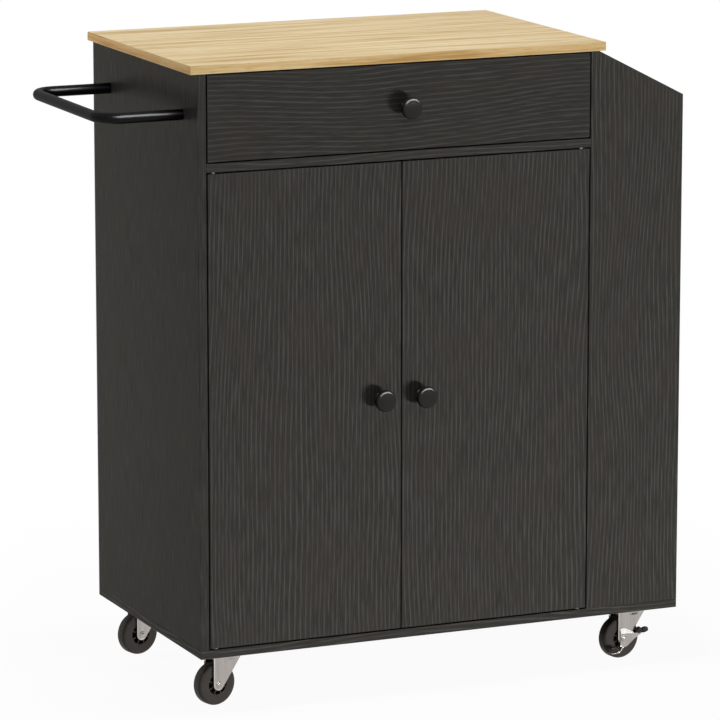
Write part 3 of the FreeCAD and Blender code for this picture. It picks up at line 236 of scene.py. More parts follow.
class IslandStage(bpy.types.PropertyGroup):
    """Camera, lamps and floor."""
    azimuth: angle_of("Azimuth", "Camera's turn to the right of the island's front", -23.616)
    elevation: angle_of("Elevation", "Camera's height above the level", 11.373)
    distance: length_of("Distance", "Camera's distance from the point it looks at", 6.525)
    aim_side: length_of("Aim side", "How far right of the middle the camera looks", 14.9 * MM)
    aim_height: length_of("Aim height", "Height that the camera looks at", 435.5 * MM)
    lens: amount_of("Lens", "Focal length in millimetres on a 36 mm sensor", 232.41)
    ambient: amount_of("Ambient", "Light from all round, where 1 is white", 0.06)
    key_level: amount_of("Key level", "Brightness that the key lamp gives a white face", 0.82)
    side_level: amount_of("Side level", "Brightness that the side lamp gives a white face", 0.7)
    top_level: amount_of("Top level", "Brightness that the top lamp gives a white face", 0.86)
    box_shine: amount_of("Soft box shine", "Brightness of the soft box's own image in a mirror", 44.0)
    floor: colour_of("Floor", "Pale floor", "#FFFFFF")
    floor_shadow: amount_of("Floor shadow", "Share of the floor's light that a shadow can take away", 0.05)
    fade_start: length_of("Fade start", "From the middle to where the floor starts to turn white", 450 * MM)
    fade_end: length_of("Fade end", "From the middle to where the floor is plain white", 1300 * MM)
    floor_reach: length_of("Floor reach", "From the middle to the floor's edge", 40000 * MM)


def put(tree, kind, sockets=None, **settings):
    """Adds a shader node with its settings and returns its output; each socket takes a value or a link."""
    made = tree.nodes.new("ShaderNode" + kind)
    for name, value in settings.items():
        setattr(made, name, value)
    inputs = {socket.identifier: socket for socket in made.inputs}
    for name, value in (sockets or {}).items():
        if isinstance(value, bpy.types.NodeSocket):
            tree.links.new(value, inputs[name])
        else:
            inputs[name].default_value = value
    return next(socket for socket in made.outputs if socket.enabled)


def new_finish(name, **shading):
    """A material with its Principled shader; shading gives the values that are the same all over."""
    made = bpy.data.materials.new(name)
    made.use_nodes = True
    shader = made.node_tree.nodes["Principled BSDF"]
    for socket, value in shading.items():
        shader.inputs[socket.replace("_", " ")].default_value = value
    return made, made.node_tree, shader.inputs


def grain_place(tree, axes, shift):
    """Grain coordinates of a board: X runs along the fibres and Y across them, carried round its edges."""
    place = put(tree, "TexCoord").node.outputs
    along, wide, thin = ("XYZ".index(axis) for axis in axes)
    point = put(tree, "SeparateXYZ", {"Vector": place["Object"]}).node.outputs
    facing = put(tree, "SeparateXYZ", {"Vector": place["Normal"]}).node.outputs
    steep = put(tree, "Math", {"Value": facing[along]}, operation="ABSOLUTE")
    end = put(tree, "Math", {"Value": steep, "Value_001": 0.5}, operation="GREATER_THAN")
    run = put(tree, "Mix", {"Factor_Float": end, "A_Float": point[along], "B_Float": point[wide]})
    cross = put(tree, "Mix", {"Factor_Float": end, "A_Float": point[wide], "B_Float": 0.0})
    round_edge = put(tree, "Math", {"Value": cross, "Value_001": point[thin]}, operation="ADD")
    flat = put(tree, "CombineXYZ", {"X": run, "Y": round_edge})
    return put(tree, "VectorMath", {"Vector": flat, "Vector_001": (shift, shift / 3, 0)}, operation="ADD")


def toned(colour, share):
    """A colour made darker or lighter by a share."""
    return tuple(min(1.0, part * share) for part in colour[:3]) + (1.0,)


def streaks(tree, place, size, detail=2.0, roughness=0.5):
    """Noise drawn out along one way: its spots have the given size along X and Y, or along X, Y and Z."""
    scale = [1 / part for part in size] + [1] * (3 - len(size))
    scaled = put(tree, "VectorMath", {"Vector": place, "Vector_001": scale}, operation="MULTIPLY")
    return put(tree, "TexNoise", {"Vector": scaled, "Scale": 1.0, "Detail": detail, "Roughness": roughness},
               noise_dimensions=f"{len(size)}D")


def cover(tree, shader, colour, height, depth, strength=1.0):
    """Gives a finish its colour, and presses a pattern into its surface to a depth."""
    tree.links.new(colour, shader["Base Color"])
    relief = put(tree, "Bump", {"Height": height, "Distance": depth, "Strength": strength})
    tree.links.new(relief, shader["Normal"])


def black_ash_laminate(name, axes, shift):
    """Printed ash foil, pressed with its grain: satin black with raised grey lines that wave like rings."""
    look = bpy.context.scene.island_laminate
    # Painted shade: only the drawer front's colours are darkened by this share.
    painted_shade = look.drawer_painted_shade if name == "drawer_front" else 1.0
    line_weight = 0.6 * (look.side_relief if axes == UPRIGHT_SIDE else 1.0)
    made, tree, shader = new_finish(f"Black ash laminate {name}", Roughness=0.6, Specular_IOR_Level=0.01)
    place = grain_place(tree, axes, shift)
    across = put(tree, "SeparateXYZ", {"Vector": place}).node.outputs["Y"]
    slow = streaks(tree, place, (look.wave_length, look.wave_width), 1.0)
    fine = streaks(tree, place, (look.wiggle_length, look.wiggle_width))
    bent = put(tree, "Math", {"Value": slow, "Value_001": look.wave_depth, "Value_002": across},
               operation="MULTIPLY_ADD")
    rough_bent = put(tree, "Math", {"Value": fine, "Value_001": look.wiggle_depth, "Value_002": bent},
                     operation="MULTIPLY_ADD")
    turns = put(tree, "Math", {"Value": rough_bent, "Value_001": math.tau / look.line_pitch},
                operation="MULTIPLY")
    wave = put(tree, "Math", {"Value": turns}, operation="SINE")
    lines = put(tree, "MapRange", {"Value": wave, "From Min": 0.2, "From Max": 1.0, "To Min": 0.0,
                                   "To Max": 1.0}, interpolation_type="SMOOTHSTEP")
    fading = streaks(tree, place, (look.break_length, look.break_width), 3.0)
    breaks = put(tree, "MapRange", {"Value": fading, "From Min": 0.3, "From Max": 0.65,
                                    "To Min": 0.3, "To Max": 1.0})
    broken = put(tree, "Math", {"Value": lines, "Value_001": breaks}, operation="MULTIPLY")
    fibres = streaks(tree, place, (look.fibre_length, look.fibre_width))
    height = put(tree, "Math", {"Value": broken, "Value_001": line_weight, "Value_002": fibres},
                 operation="MULTIPLY_ADD")
    shade = put(tree, "ValToRGB", {"Fac": height})
    ramp = shade.node.color_ramp
    ramp.elements[0].position, ramp.elements[0].color = 0.34, toned(look.dark, painted_shade)
    ramp.elements[1].position, ramp.elements[1].color = 1.0, toned(look.light, painted_shade)
    ramp.elements.new(0.62).color = toned(look.body, painted_shade)
    slow_tint = streaks(tree, place, (look.patch_length, look.patch_width))
    patch = put(tree, "MapRange", {"Value": slow_tint, "From Min": 0.45, "From Max": 0.75,
                                   "To Min": 0.0, "To Max": 0.4})
    colour = put(tree, "Mix", {"Factor_Float": patch, "A_Color": shade, "B_Color": toned(look.warm, painted_shade)},
                 data_type="RGBA")
    cover(tree, shader, colour, height, look.emboss)
    return made


def oak_laminate():
    """Printed oak foil under a satin seal: pale straw with long soft rings and short dark pores."""
    look = bpy.context.scene.island_oak
    made, tree, shader = new_finish("Oak laminate", Roughness=0.55, Specular_IOR_Level=0.06)
    place = grain_place(tree, LYING_FLAT, shift=0.4)
    rings = streaks(tree, place, (look.ring_length, look.ring_width), 4.0, 0.6)
    fibres = streaks(tree, place, (look.pore_length * 2, look.pore_width))
    drawn = put(tree, "Math", {"Value": fibres, "Value_001": 0.3, "Value_002": rings},
                operation="MULTIPLY_ADD")
    shade = put(tree, "ValToRGB", {"Fac": drawn})
    ramp = shade.node.color_ramp
    ramp.elements[0].position, ramp.elements[0].color = 0.46, look.dark
    ramp.elements[1].position, ramp.elements[1].color = 0.83, look.light
    ramp.elements.new(0.63).color = look.body
    flecks = streaks(tree, place, (look.pore_length, look.pore_width))
    pores = put(tree, "MapRange", {"Value": flecks, "From Min": 0.62, "From Max": 0.78,
                                   "To Min": 0.0, "To Max": 0.6})
    colour = put(tree, "Mix", {"Factor_Float": pores, "A_Color": shade, "B_Color": look.pore},
                 data_type="RGBA")
    # Painted shade: faces that don't face up are darkened by the front tint, and those facing the ends by the
    # darker end tint.
    outward = put(tree, "TexCoord").node.outputs["Normal"]
    upright = put(tree, "VectorMath", {"Vector": outward}, operation="ABSOLUTE")
    steep = put(tree, "SeparateXYZ", {"Vector": upright}).node.outputs
    at_edge = put(tree, "Math", {"Value": steep["Z"], "Value_001": 0.5}, operation="LESS_THAN")
    at_end = put(tree, "Math", {"Value": steep["X"], "Value_001": 0.5}, operation="GREATER_THAN")
    tint = put(tree, "Mix", {"Factor_Float": at_end, "A_Color": look.tape, "B_Color": look.end_edge_shade},
               data_type="RGBA")
    edge_shaded = put(tree, "Mix", {"Factor_Float": at_edge, "A_Color": colour, "B_Color": tint},
                data_type="RGBA", blend_type="MULTIPLY")
    cover(tree, shader, edge_shaded, rings, look.emboss, 0.6)
    return made


def mottled(name, colour, spot, spread, grain, depth, **shading):
    """A plain surface: its colour drifts a little from spot to spot, and its skin has a fine grain."""
    made, tree, shader = new_finish(name, **shading)
    place = put(tree, "TexCoord").node.outputs["Object"]
    drift = put(tree, "TexNoise", {"Vector": place, "Scale": 1 / spot, "Detail": 3.0})
    mixed = put(tree, "Mix", {"Factor_Float": drift, "A_Color": toned(colour, 1 - spread),
                              "B_Color": toned(colour, 1 + spread)}, data_type="RGBA")
    skin = put(tree, "TexNoise", {"Vector": place, "Scale": 1 / grain, "Detail": 2.0})
    cover(tree, shader, mixed, skin, depth)
    return made


def bright_zinc(name, colour):
    """Zinc-plated pressed steel: a soft warm grey shine with faint drawing marks from the press, and broad painted
    reflection streaks.
    """
    made, tree, shader = new_finish(name, Metallic=1.0, Roughness=0.26)
    place = put(tree, "TexCoord").node.outputs["Object"]
    # Real drawing marks are a few tenths of a millimetre wide; these are coarser, so that they show.
    mark_width, mark_length, mark_depth = 1.2 * MM, 14 * MM, 0.02 * MM
    # Painted reflection: broad soft bands, lighter and darker along the sheet, stand in for the streaks that the
    # surroundings mirror in it.
    streak_width, streak_length = 7 * MM, 90 * MM
    marks = streaks(tree, place, (mark_width, mark_width, mark_length), 3.0)
    painted_streaks = streaks(tree, place, (streak_width, streak_width, streak_length), 1.0)
    amount = put(tree, "Math", {"Value": marks, "Value_001": 0.5, "Value_002": painted_streaks},
                 operation="MULTIPLY_ADD")
    mixed = put(tree, "Mix", {"Factor_Float": amount, "A_Color": toned(colour, 0.72),
                              "B_Color": toned(colour, 1.12)}, data_type="RGBA")
    cover(tree, shader, mixed, marks, mark_depth)
    return made


FINISHES = {}


def finish_for(finish):
    """The one material that all pieces of a finish share; most finishes are named as their slot."""
    look = bpy.context.scene.island_fittings
    wheels = bpy.context.scene.island_casters
    # A skin finer than half a millimetre is drawn coarser than the real one, so that it shows.
    makers = {
        # Gloss powder coat: deep black with a soft lamp streak over a faint orange peel.
        "black_enamel": lambda: mottled("Gloss powder coat", look.enamel, 30 * MM, 0.2, 2.5 * MM, 0.01 * MM,
                                        Roughness=0.6, Specular_IOR_Level=0.0, Coat_Weight=0.18,
                                        Coat_Roughness=0.27),
        # Satin powder coat: a bright soft crescent on the knobs' rims.
        "black_knob": lambda: mottled("Satin powder coat", look.knob, 12 * MM, 0.2, 0.9 * MM, 0.02 * MM,
                                      Roughness=0.6, Specular_IOR_Level=0.0, Coat_Weight=0.24,
                                      Coat_Roughness=0.27),
        # Zinc plate: a soft grey shine; the rim and shoulder finishes are drawn paler as painted highlights.
        "zinc_steel": lambda: bright_zinc("Bright zinc plate", look.zinc),
        "zinc_rim_highlight": lambda: bright_zinc("Zinc plate with painted rim highlight", look.zinc_rim_highlight),
        "shoulder_highlight_zinc": lambda: bright_zinc("Zinc plate with painted shoulder highlight", look.shoulder_highlight),
        # Steel pins drawn near white: a painted highlight, the small pale dot where a pin shows in a door's gap.
        "hinge_pin": lambda: mottled("Pin steel with painted highlight", look.pin, 2 * MM, 0.06, 0.3 * MM, 0.01 * MM,
                                     Metallic=0.4, Roughness=0.55),
        # Die-cast zinc: grey and grainy where the mould's skin shows.
        "zinc_casting": lambda: mottled("Die-cast zinc", look.cast, 3 * MM, 0.15, 0.6 * MM, 0.05 * MM,
                                        Metallic=1.0, Roughness=0.5),
        # Moulded polypropylene: grey-brown and waxy, with a matt moulded skin.
        "wheel_plastic": lambda: mottled("Moulded polypropylene", wheels.plastic, 10 * MM, 0.12, 0.8 * MM,
                                         0.04 * MM, Roughness=0.45, Specular_IOR_Level=0.08),
        # Moulded pedal caps: near black, with the same waxy skin.
        "pedal_cap": lambda: mottled("Moulded pedal plastic", wheels.pedal_plastic, 6 * MM, 0.12, 0.8 * MM,
                                     0.04 * MM, Roughness=0.42, Specular_IOR_Level=0.1),
        # Moulded nylon: milky white with a dull gloss.
        "nylon": lambda: mottled("Moulded nylon", look.nylon, 5 * MM, 0.06, 0.5 * MM, 0.02 * MM,
                                 Roughness=0.4),
        # Moulded acetal: dull dark grey with a fine mould skin.
        "catch_plastic": lambda: mottled("Moulded acetal", look.catch, 6 * MM, 0.1, 0.6 * MM, 0.03 * MM,
                                         Roughness=0.45),
        # Painted hardboard: matt, with the pressed fibres showing as a fine grain.
        "hardboard": lambda: mottled("Painted hardboard", look.hardboard, 20 * MM, 0.12, 1.1 * MM, 0.08 * MM,
                                     Roughness=0.7, Specular_IOR_Level=0.2),
        # Raw beech: pale and dry, with short flecks.
        "beech": lambda: mottled("Raw beech", look.beech, 4 * MM, 0.18, 0.7 * MM, 0.05 * MM, Roughness=0.7),
    }
    if finish not in FINISHES:
        FINISHES[finish] = makers[finish]()
    return FINISHES[finish]


def dress(name, material, edge=0.0, arris=None):
    """Gives a node its material, and its edges a small radius with a material of their own."""
    piece = NODES[name]
    piece.data.materials.clear()
    piece.data.materials.append(material)
    if edge:
        weld = piece.modifiers.new("Joined corners", "WELD")
        weld.merge_threshold = TOUCHING
        eased = soften(piece, edge)
    if arris:
        # The eased edges take the arris finish, whose pale grey is partly a painted highlight.
        piece.data.materials.append(arris)
        eased.material = 1


def finish_own_shapes(*names):
    """Gives the finish of its slot to each node whose CAD shape stays."""
    for name in names:
        dress(name, finish_for(SLOTS[name]))


def add_piece(name, bm, slot, body, *replaced, finish=None):
    """Makes a mesh into a piece with its finish; it rides on a body and stands for the nodes it replaces."""
    bmesh.ops.recalc_face_normals(bm, faces=bm.faces)
    mesh = bpy.data.meshes.new(name)
    bm.to_mesh(mesh)
    bm.free()
    mesh.shade_smooth()
    mesh.set_sharp_from_angle(angle=SHARP_FROM)
    mesh.materials.append(finish_for(finish or slot))
    piece = bpy.data.objects.new(name, mesh)
    bpy.context.scene.collection.objects.link(piece)
    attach(piece, body)
    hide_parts(*replaced)
    return piece


def arc(middle, radius, start, end, steps=6):
    """Points of an arc in a profile, from one angle to another in degrees."""
    angles = (math.radians(start + (end - start) * step / steps) for step in range(steps + 1))
    return [(middle[0] + radius * math.cos(a), middle[1] + radius * math.sin(a)) for a in angles]


def lathe(bm, profile, place, closed=False, steps=72):
    """Turns a profile of (radius, height) points about the Z axis of a placement matrix."""
    rings = []
    for radius, height in profile:
        if radius < 1e-6:
            rings.append([bm.verts.new(place @ Vector((0, 0, height)))])
            continue
        turns = (math.tau * step / steps for step in range(steps))
        rings.append([bm.verts.new(place @ Vector((radius * math.cos(a), radius * math.sin(a), height)))
                      for a in turns])
    following = rings[1:] + rings[:1] if closed else rings[1:]
    for inner, outer in zip(rings, following):
        for step in range(steps):
            after = (step + 1) % steps
            corners = [inner[step % len(inner)], outer[step % len(outer)],
                       outer[after % len(outer)], inner[after % len(inner)]]
            if len(set(corners)) >= 3:
                bm.faces.new(list(dict.fromkeys(corners)))


def facing(origin, direction):
    """A placement whose Z axis points along a direction."""
    return Matrix.Translation(origin) @ Vector(direction).to_track_quat("Z", "Y").to_matrix().to_4x4()


def extrude(bm, outline, start, end, place):
    """A plate: an outline of (x, z) points carried along Y from start to end."""
    near, far = ([bm.verts.new(place @ Vector((x, y, z))) for x, z in outline] for y in (start, end))
    bm.faces.new(near)
    bm.faces.new(far)
    for index, corner in enumerate(near):
        bm.faces.new((corner, near[index - 1], far[index - 1], far[index]))


def axle_place(corner):
    """A caster's axle: X points to the kingpin, Y along the axle away from the brake's side, Z up."""
    joint = JOINTS[f"{corner}_wheel_spin"]
    across = Vector(joint["axis"])
    up = Vector((0, 0, 1))
    turn = Matrix((across.cross(up), across, up)).transposed()
    return Matrix.Translation(joint["pos_m"]) @ turn.to_4x4()


def soften(piece, width, segments=2):
    """Rounds the sharp edges of a piece."""
    eased = piece.modifiers.new("Eased edges", "BEVEL")
    eased.width = width
    eased.segments = segments
    eased.limit_method = "ANGLE"
    eased.angle_limit = EASED_FROM
    eased.harden_normals = True
    return eased


# Lays a lathe's axis along Y.
LATHE_ON_Y = Matrix.Rotation(math.radians(-90), 4, "X")


class ISLAND_OT_laminate(bpy.types.Operator):
    """Finish the cabinet's black boards"""
    bl_idname = "island.laminate"
    bl_label = "Black laminate"
    # Each board is cut from another place of the printed sheet, this many metres on.
    sheet_step = 1.37

    def execute(self, context):
        look = context.scene.island_laminate
        # Edge tape trimmed with a knife: its arrises lose the print and shine a little. Their pale grey is also a
        # painted highlight along the edges.
        arris = mottled("Edge tape with painted highlight", look.arris, 9 * MM, 0.15, 1.1 * MM, 0.02 * MM, Roughness=0.45,
                        Specular_IOR_Level=0.1)
        for index, (name, axes) in enumerate(BOARDS.items()):
            dress(name, black_ash_laminate(name, axes, index * self.sheet_step), look.edge, arris)
        return {"FINISHED"}


class ISLAND_OT_worktop(bpy.types.Operator):
    """Finish the oak worktop"""
    bl_idname = "island.worktop"
    bl_label = "Worktop"

    def execute(self, context):
        dress("worktop", oak_laminate(), context.scene.island_oak.edge)
        return {"FINISHED"}


class ISLAND_OT_towel_bar(bpy.types.Operator):
    """Bend the towel bar from one tube"""
    bl_idname = "island.towel_bar"
    bl_label = "Towel bar"
    sides = 40
    bend_steps = 20

    def execute(self, context):
        sizes = context.scene.island_fittings
        low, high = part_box("towel_bar")
        radius = (high.z - low.z) / 2
        rounds = [self.rounds(low, high, radius, sizes.bar_bend, tube)
                  for tube in (radius, radius - sizes.bar_wall)]
        bm = bmesh.new()
        rings = [[bm.verts.new(point) for point in ring] for ring in rounds[0] + rounds[1][::-1]]
        for here, there in zip(rings, rings[1:] + rings[:1]):
            for side in range(self.sides):
                after = (side + 1) % self.sides
                bm.faces.new((here[side], here[after], there[after], there[side]))
        add_piece("towel_bar_tube", bm, "black_enamel", "cabinet", "towel_bar")
        return {"FINISHED"}

    def rounds(self, low, high, radius, bend, tube):
        """Rings round the tube's line, from the near leg over the long bar to the far leg."""
        middle = (low.z + high.z) / 2
        left, near, far = low.x + radius, low.y + radius, high.y - radius
        stations = [((high.x, near), 0.0)]
        for centre, start in (((left + bend, near + bend), 0.0), ((left + bend, far - bend), 90.0)):
            for step in range(self.bend_steps + 1):
                turn = math.radians(start + 90 * step / self.bend_steps)
                spot = (centre[0] - bend * math.sin(turn), centre[1] - bend * math.cos(turn))
                stations.append((spot, turn))
        stations.append(((high.x, far), math.pi))
        return [[Vector((x - tube * math.sin(turn) * math.cos(a), y - tube * math.cos(turn) * math.cos(a),
                         middle + tube * math.sin(a)))
                 for a in (math.tau * side / self.sides for side in range(self.sides))]
                for (x, y), turn in stations]


class ISLAND_OT_guard_rails(bpy.types.Operator):
    """Coat the rack's guard rails"""
    bl_idname = "island.guard_rails"
    bl_label = "Guard rails"

    def execute(self, context):
        finish_own_shapes("rack_guard_rails")
        return {"FINISHED"}


class ISLAND_OT_thin_panels(bpy.types.Operator):
    """Paint the back panel and the drawer's bottom"""
    bl_idname = "island.thin_panels"
    bl_label = "Thin panels"

    def execute(self, context):
        finish_own_shapes("back_panel", "drawer_bottom")
        return {"FINISHED"}


class ISLAND_OT_door_fittings(bpy.types.Operator):
    """Finish the doors' pins, bushes, strike plates and magnetic catch"""
    bl_idname = "island.door_fittings"
    bl_label = "Door fittings"

    def execute(self, context):
        finish_own_shapes("hinge_bushes", "left_strike_plate", "right_strike_plate", "magnetic_catch")
        for door in ("left_door", "right_door"):
            dress(f"{door}_pins", finish_for("hinge_pin"))
        return {"FINISHED"}


class ISLAND_OT_runners(bpy.types.Operator):
    """Plate the drawer's runners, their ball cages and their screws"""
    bl_idname = "island.runners"
    bl_label = "Drawer runners"

    def execute(self, context):
        finish_own_shapes("cabinet_runners", "drawer_runners", "ball_cages", "cabinet_runner_screws")
        return {"FINISHED"}


class ISLAND_OT_fixings(bpy.types.Operator):
    """Finish the cams, bolts, dowels, screws, nails and shelf pins"""
    bl_idname = "island.fixings"
    bl_label = "Fixings"

    def execute(self, context):
        finish_own_shapes("cam_locks", "cam_bolts", "wood_dowels", "base_screws", "back_panel_nails",
                          "towel_bar_screws", "shelf_pins", *(f"{knob}_screw" for knob in KNOBS))
        return {"FINISHED"}


class ISLAND_OT_caster_mounts(bpy.types.Operator):
    """Plate the casters' mounting plates, kingpins and screws"""
    bl_idname = "island.caster_mounts"
    bl_label = "Caster mounts"

    def execute(self, context):
        finish_own_shapes("caster_plates", "caster_kingpins", "caster_screws")
        return {"FINISHED"}


class ISLAND_OT_knobs(bpy.types.Operator):
    """Turn the three knobs"""
    bl_idname = "island.knobs"
    bl_label = "Knobs"

    def execute(self, context):
        sizes = context.scene.island_fittings
        for name, body in KNOBS.items():
            low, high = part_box(name)
            radius = (high.x - low.x) / 2
            reach = high.y - low.y
            foot, neck = sizes.knob_foot / 2, sizes.knob_neck / 2
            fold, rim, dome = sizes.knob_under, sizes.knob_rim, sizes.knob_dome
            under = reach - sizes.knob_head_height
            flare = (under - sizes.knob_foot_height) / 2
            foot_edge = sizes.knob_foot_edge
            profile = [(0, 0), (foot, 0)]
            profile += arc((foot - foot_edge, sizes.knob_foot_height - foot_edge), foot_edge, 0, 90, 4)
            profile += arc((neck + flare, sizes.knob_foot_height + flare), flare, 250, 110, 10)
            profile += arc((radius - fold, under + fold), fold, -90, 0)
            profile += arc((radius - rim, reach - dome - rim), rim, 0, 82, 14)
            ball = ((radius - rim) ** 2 + dome ** 2) / (2 * dome)
            spread = math.degrees(math.asin((radius - rim) / ball))
            profile += arc((0, reach - ball), ball, 90 - spread, 90, 8)
            bm = bmesh.new()
            centre = Vector(((low.x + high.x) / 2, high.y, (low.z + high.z) / 2))
            lathe(bm, profile, facing(centre, (0, -1, 0)))
            add_piece(f"{name}_turned", bm, "black_knob", body, name)
        return {"FINISHED"}


class ISLAND_OT_wheels(bpy.types.Operator):
    """Mould the four wheels"""
    bl_idname = "island.wheels"
    bl_label = "Wheels"
    spokes = 8

    def execute(self, context):
        sizes = context.scene.island_casters
        for corner in CORNERS:
            radius = JOINTS[f"{corner}_wheel_spin"]["pos_m"][2]
            place = axle_place(corner)
            bm = bmesh.new()
            side = self.side_profile(sizes, radius)
            lathe(bm, side + [(r, -h) for r, h in reversed(side)], place @ LATHE_ON_Y, closed=True, steps=96)
            for step in range(self.spokes):
                turn = math.tau * (step + 0.5) / self.spokes
                self.add_spoke(bm, sizes, place @ Matrix.Rotation(turn, 4, "Y"))
            add_piece(f"{corner}_moulded_wheel", bm, "wheel_plastic", f"{corner}_roller", f"{corner}_wheel")
        return {"FINISHED"}

    def side_profile(self, sizes, radius):
        """One side of the wheel, from its bore out to the middle of its tread."""
        lip = sizes.lip
        points = [(sizes.axle + sizes.bore_gap, sizes.hub_half)]
        points += arc((sizes.hub - lip, sizes.hub_half - lip), lip, 90, 0, 3)
        points += [(sizes.hub, sizes.web), (sizes.recess, sizes.web)]
        points += arc((sizes.recess + lip, sizes.wheel_half - lip), lip, 180, 90, 3)
        points += arc((radius - sizes.shoulder, sizes.wheel_half - sizes.shoulder), sizes.shoulder, 90, 0, 8)
        return points

    def add_spoke(self, bm, sizes, place):
        """A thin rib from the hub to the rim."""
        inner, outer = sizes.hub - sizes.spoke / 2, sizes.recess + sizes.spoke / 2
        half, depth = sizes.spoke / 2, sizes.wheel_half - sizes.spoke_inset
        extrude(bm, [(inner, -half), (outer, -half), (outer, half), (inner, half)], -depth, depth, place)


class ISLAND_OT_forks(bpy.types.Operator):
    """Press the four forks"""
    bl_idname = "island.forks"
    bl_label = "Forks"
    columns = 28
    end_rows = 12
    leg_rows = 20
    bend_rows = 6
    crown_rows = 5
    rim_columns = 3
    rim_rows = 6
    rim_roundness = 0.92

    def execute(self, context):
        sizes = context.scene.island_casters
        for corner in CORNERS:
            place = axle_place(corner)
            pin = Vector(JOINTS[f"{corner}_swivel_turn"]["pos_m"])
            trail = (place.inverted() @ pin).x
            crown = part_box(f"{corner}_fork")[1].z - place.translation.z
            bm = bmesh.new()
            rows = [[bm.verts.new(place @ point) for point in row] for row in self.sheet(sizes, trail, crown)]
            for level, (row, above) in enumerate(zip(rows, rows[1:])):
                for column, corners in enumerate(zip(row, row[1:], above[1:], above)):
                    face = bm.faces.new(corners)
                    # Faces along the sheet's edges take the paler rim zinc, a painted highlight on the rolled rim.
                    at_side = min(column, len(row) - 2 - column) < self.rim_columns
                    face.material_index = int(at_side or min(level, len(rows) - 2 - level) < self.rim_rows)
            bmesh.ops.remove_doubles(bm, verts=bm.verts, dist=TOUCHING)
            fork = add_piece(f"{corner}_pressed_fork", bm, "zinc_steel", f"{corner}_swivel", f"{corner}_fork")
            fork.data.materials.append(finish_for("zinc_rim_highlight"))
            thick = fork.modifiers.new("Sheet", "SOLIDIFY")
            thick.thickness = sizes.sheet
            thick.offset = -1
            thick.use_even_offset = True
            soften(fork, sizes.sheet_edge)
        return {"FINISHED"}

    def sheet(self, sizes, trail, crown):
        """Rows of points over the outer face, from one leg's end over the crown to the other's."""
        end, bend = sizes.end_radius, sizes.crown_bend
        reach = trail + sizes.front_reach
        tilt = math.atan2(crown, reach) - math.acos(end / math.hypot(reach, crown))
        touch_x, touch_z = end * math.cos(tilt), end * math.sin(tilt)

        def across(height, share):
            """The place along X, at a height, of a share of the leg's width."""
            level = min(height, crown)
            curve = math.sqrt(max(0.0, end ** 2 - level ** 2))
            back = -curve if level < 0 else -end
            slope = touch_x + (level - touch_z) * (reach - touch_x) / (crown - touch_z)
            front = curve if level < touch_z else slope
            return back + (front - back) * share

        def outside(x, height):
            """How far out a leg's face lies: flat below and swelling to the round crown at its top."""
            swell = min(1.0, max(0.0, (height - sizes.flare_start) / (crown - bend - sizes.flare_start)))
            swell = swell ** 2 * (3 - 2 * swell)
            rim = math.sqrt(max(0.0, sizes.crown_radius ** 2 - (x - trail) ** 2))
            return sizes.leg_outside + max(0.0, rim - sizes.leg_outside) * swell

        def curl(x, height):
            """How far the sheet curls in at its rim."""
            inset = min(x + end, end - x * math.cos(tilt) - height * math.sin(tilt))
            if height < 0 and math.atan2(height, x) < tilt:
                inset = end - math.hypot(x, height)
            near = min(1.0, max(0.0, 1 - inset / sizes.rim_width))
            return sizes.rim_drop * (1 - math.sqrt(1 - self.rim_roundness * near ** 2))

        shares = [0.5 - 0.5 * math.cos(math.pi * column / self.columns) for column in range(self.columns + 1)]
        heights = [-end * math.cos(math.radians(90 * step / self.end_rows)) for step in range(self.end_rows)]
        heights += [(crown - bend) * step / self.leg_rows for step in range(self.leg_rows)]
        leg = []
        for height in heights:
            row = [across(height, share) for share in shares]
            leg.append([Vector((x, outside(x, height) - curl(x, height), height)) for x in row])
        for step in range(self.bend_rows + 1):
            angle = math.radians(90 * step / self.bend_rows)
            height = crown - bend + bend * math.sin(angle)
            row = []
            for share in shares:
                x = across(height, share)
                rounding = bend - curl(x, height)
                row.append(Vector((x, outside(x, crown) - bend + rounding * math.cos(angle),
                                   crown - bend + rounding * math.sin(angle))))
            leg.append(row)
        side = leg[-1]
        for step in range(1, self.crown_rows + 1):
            share = 1 - step / self.crown_rows
            leg.append([Vector((point.x, point.y * share, point.z)) for point in side])
        mirrored = [[Vector((point.x, -point.y, point.z)) for point in row] for row in reversed(leg[:-1])]
        return leg + mirrored


class ISLAND_OT_axles(bpy.types.Operator):
    """Rivet the four axles"""
    bl_idname = "island.axles"
    bl_label = "Axles"
    rim_share = 0.45
    dome_share = 0.6

    def execute(self, context):
        sizes = context.scene.island_casters
        for corner in CORNERS:
            plain = sizes.leg_outside
            seat = plain + sizes.lever_sheet + 2 * sizes.lever_gap if corner in BRAKED else plain
            near = self.head_profile(sizes, seat)
            far = self.head_profile(sizes, plain)
            bm = bmesh.new()
            profile = [(r, -h) for r, h in near] + list(reversed(far))
            lathe(bm, profile, axle_place(corner) @ LATHE_ON_Y, steps=48)
            add_piece(f"{corner}_riveted_axle", bm, "zinc_steel", f"{corner}_swivel", f"{corner}_axle")
        return {"FINISHED"}

    def head_profile(self, sizes, seat):
        """A rivet's head from its dome's tip to the shaft under its flat rim."""
        rim = sizes.rivet_height * self.rim_share
        dome = sizes.rivet * self.dome_share
        rise = sizes.rivet_height - rim
        points = [(0, seat + sizes.rivet_height)]
        for angle in range(15, 91, 15):
            slope = math.radians(angle)
            points.append((dome * math.sin(slope), seat + rim + rise * math.cos(slope)))
        points += arc((sizes.rivet - rim / 2, seat + rim / 2), rim / 2, 90, -90, 6)
        return points + [(sizes.axle, seat)]


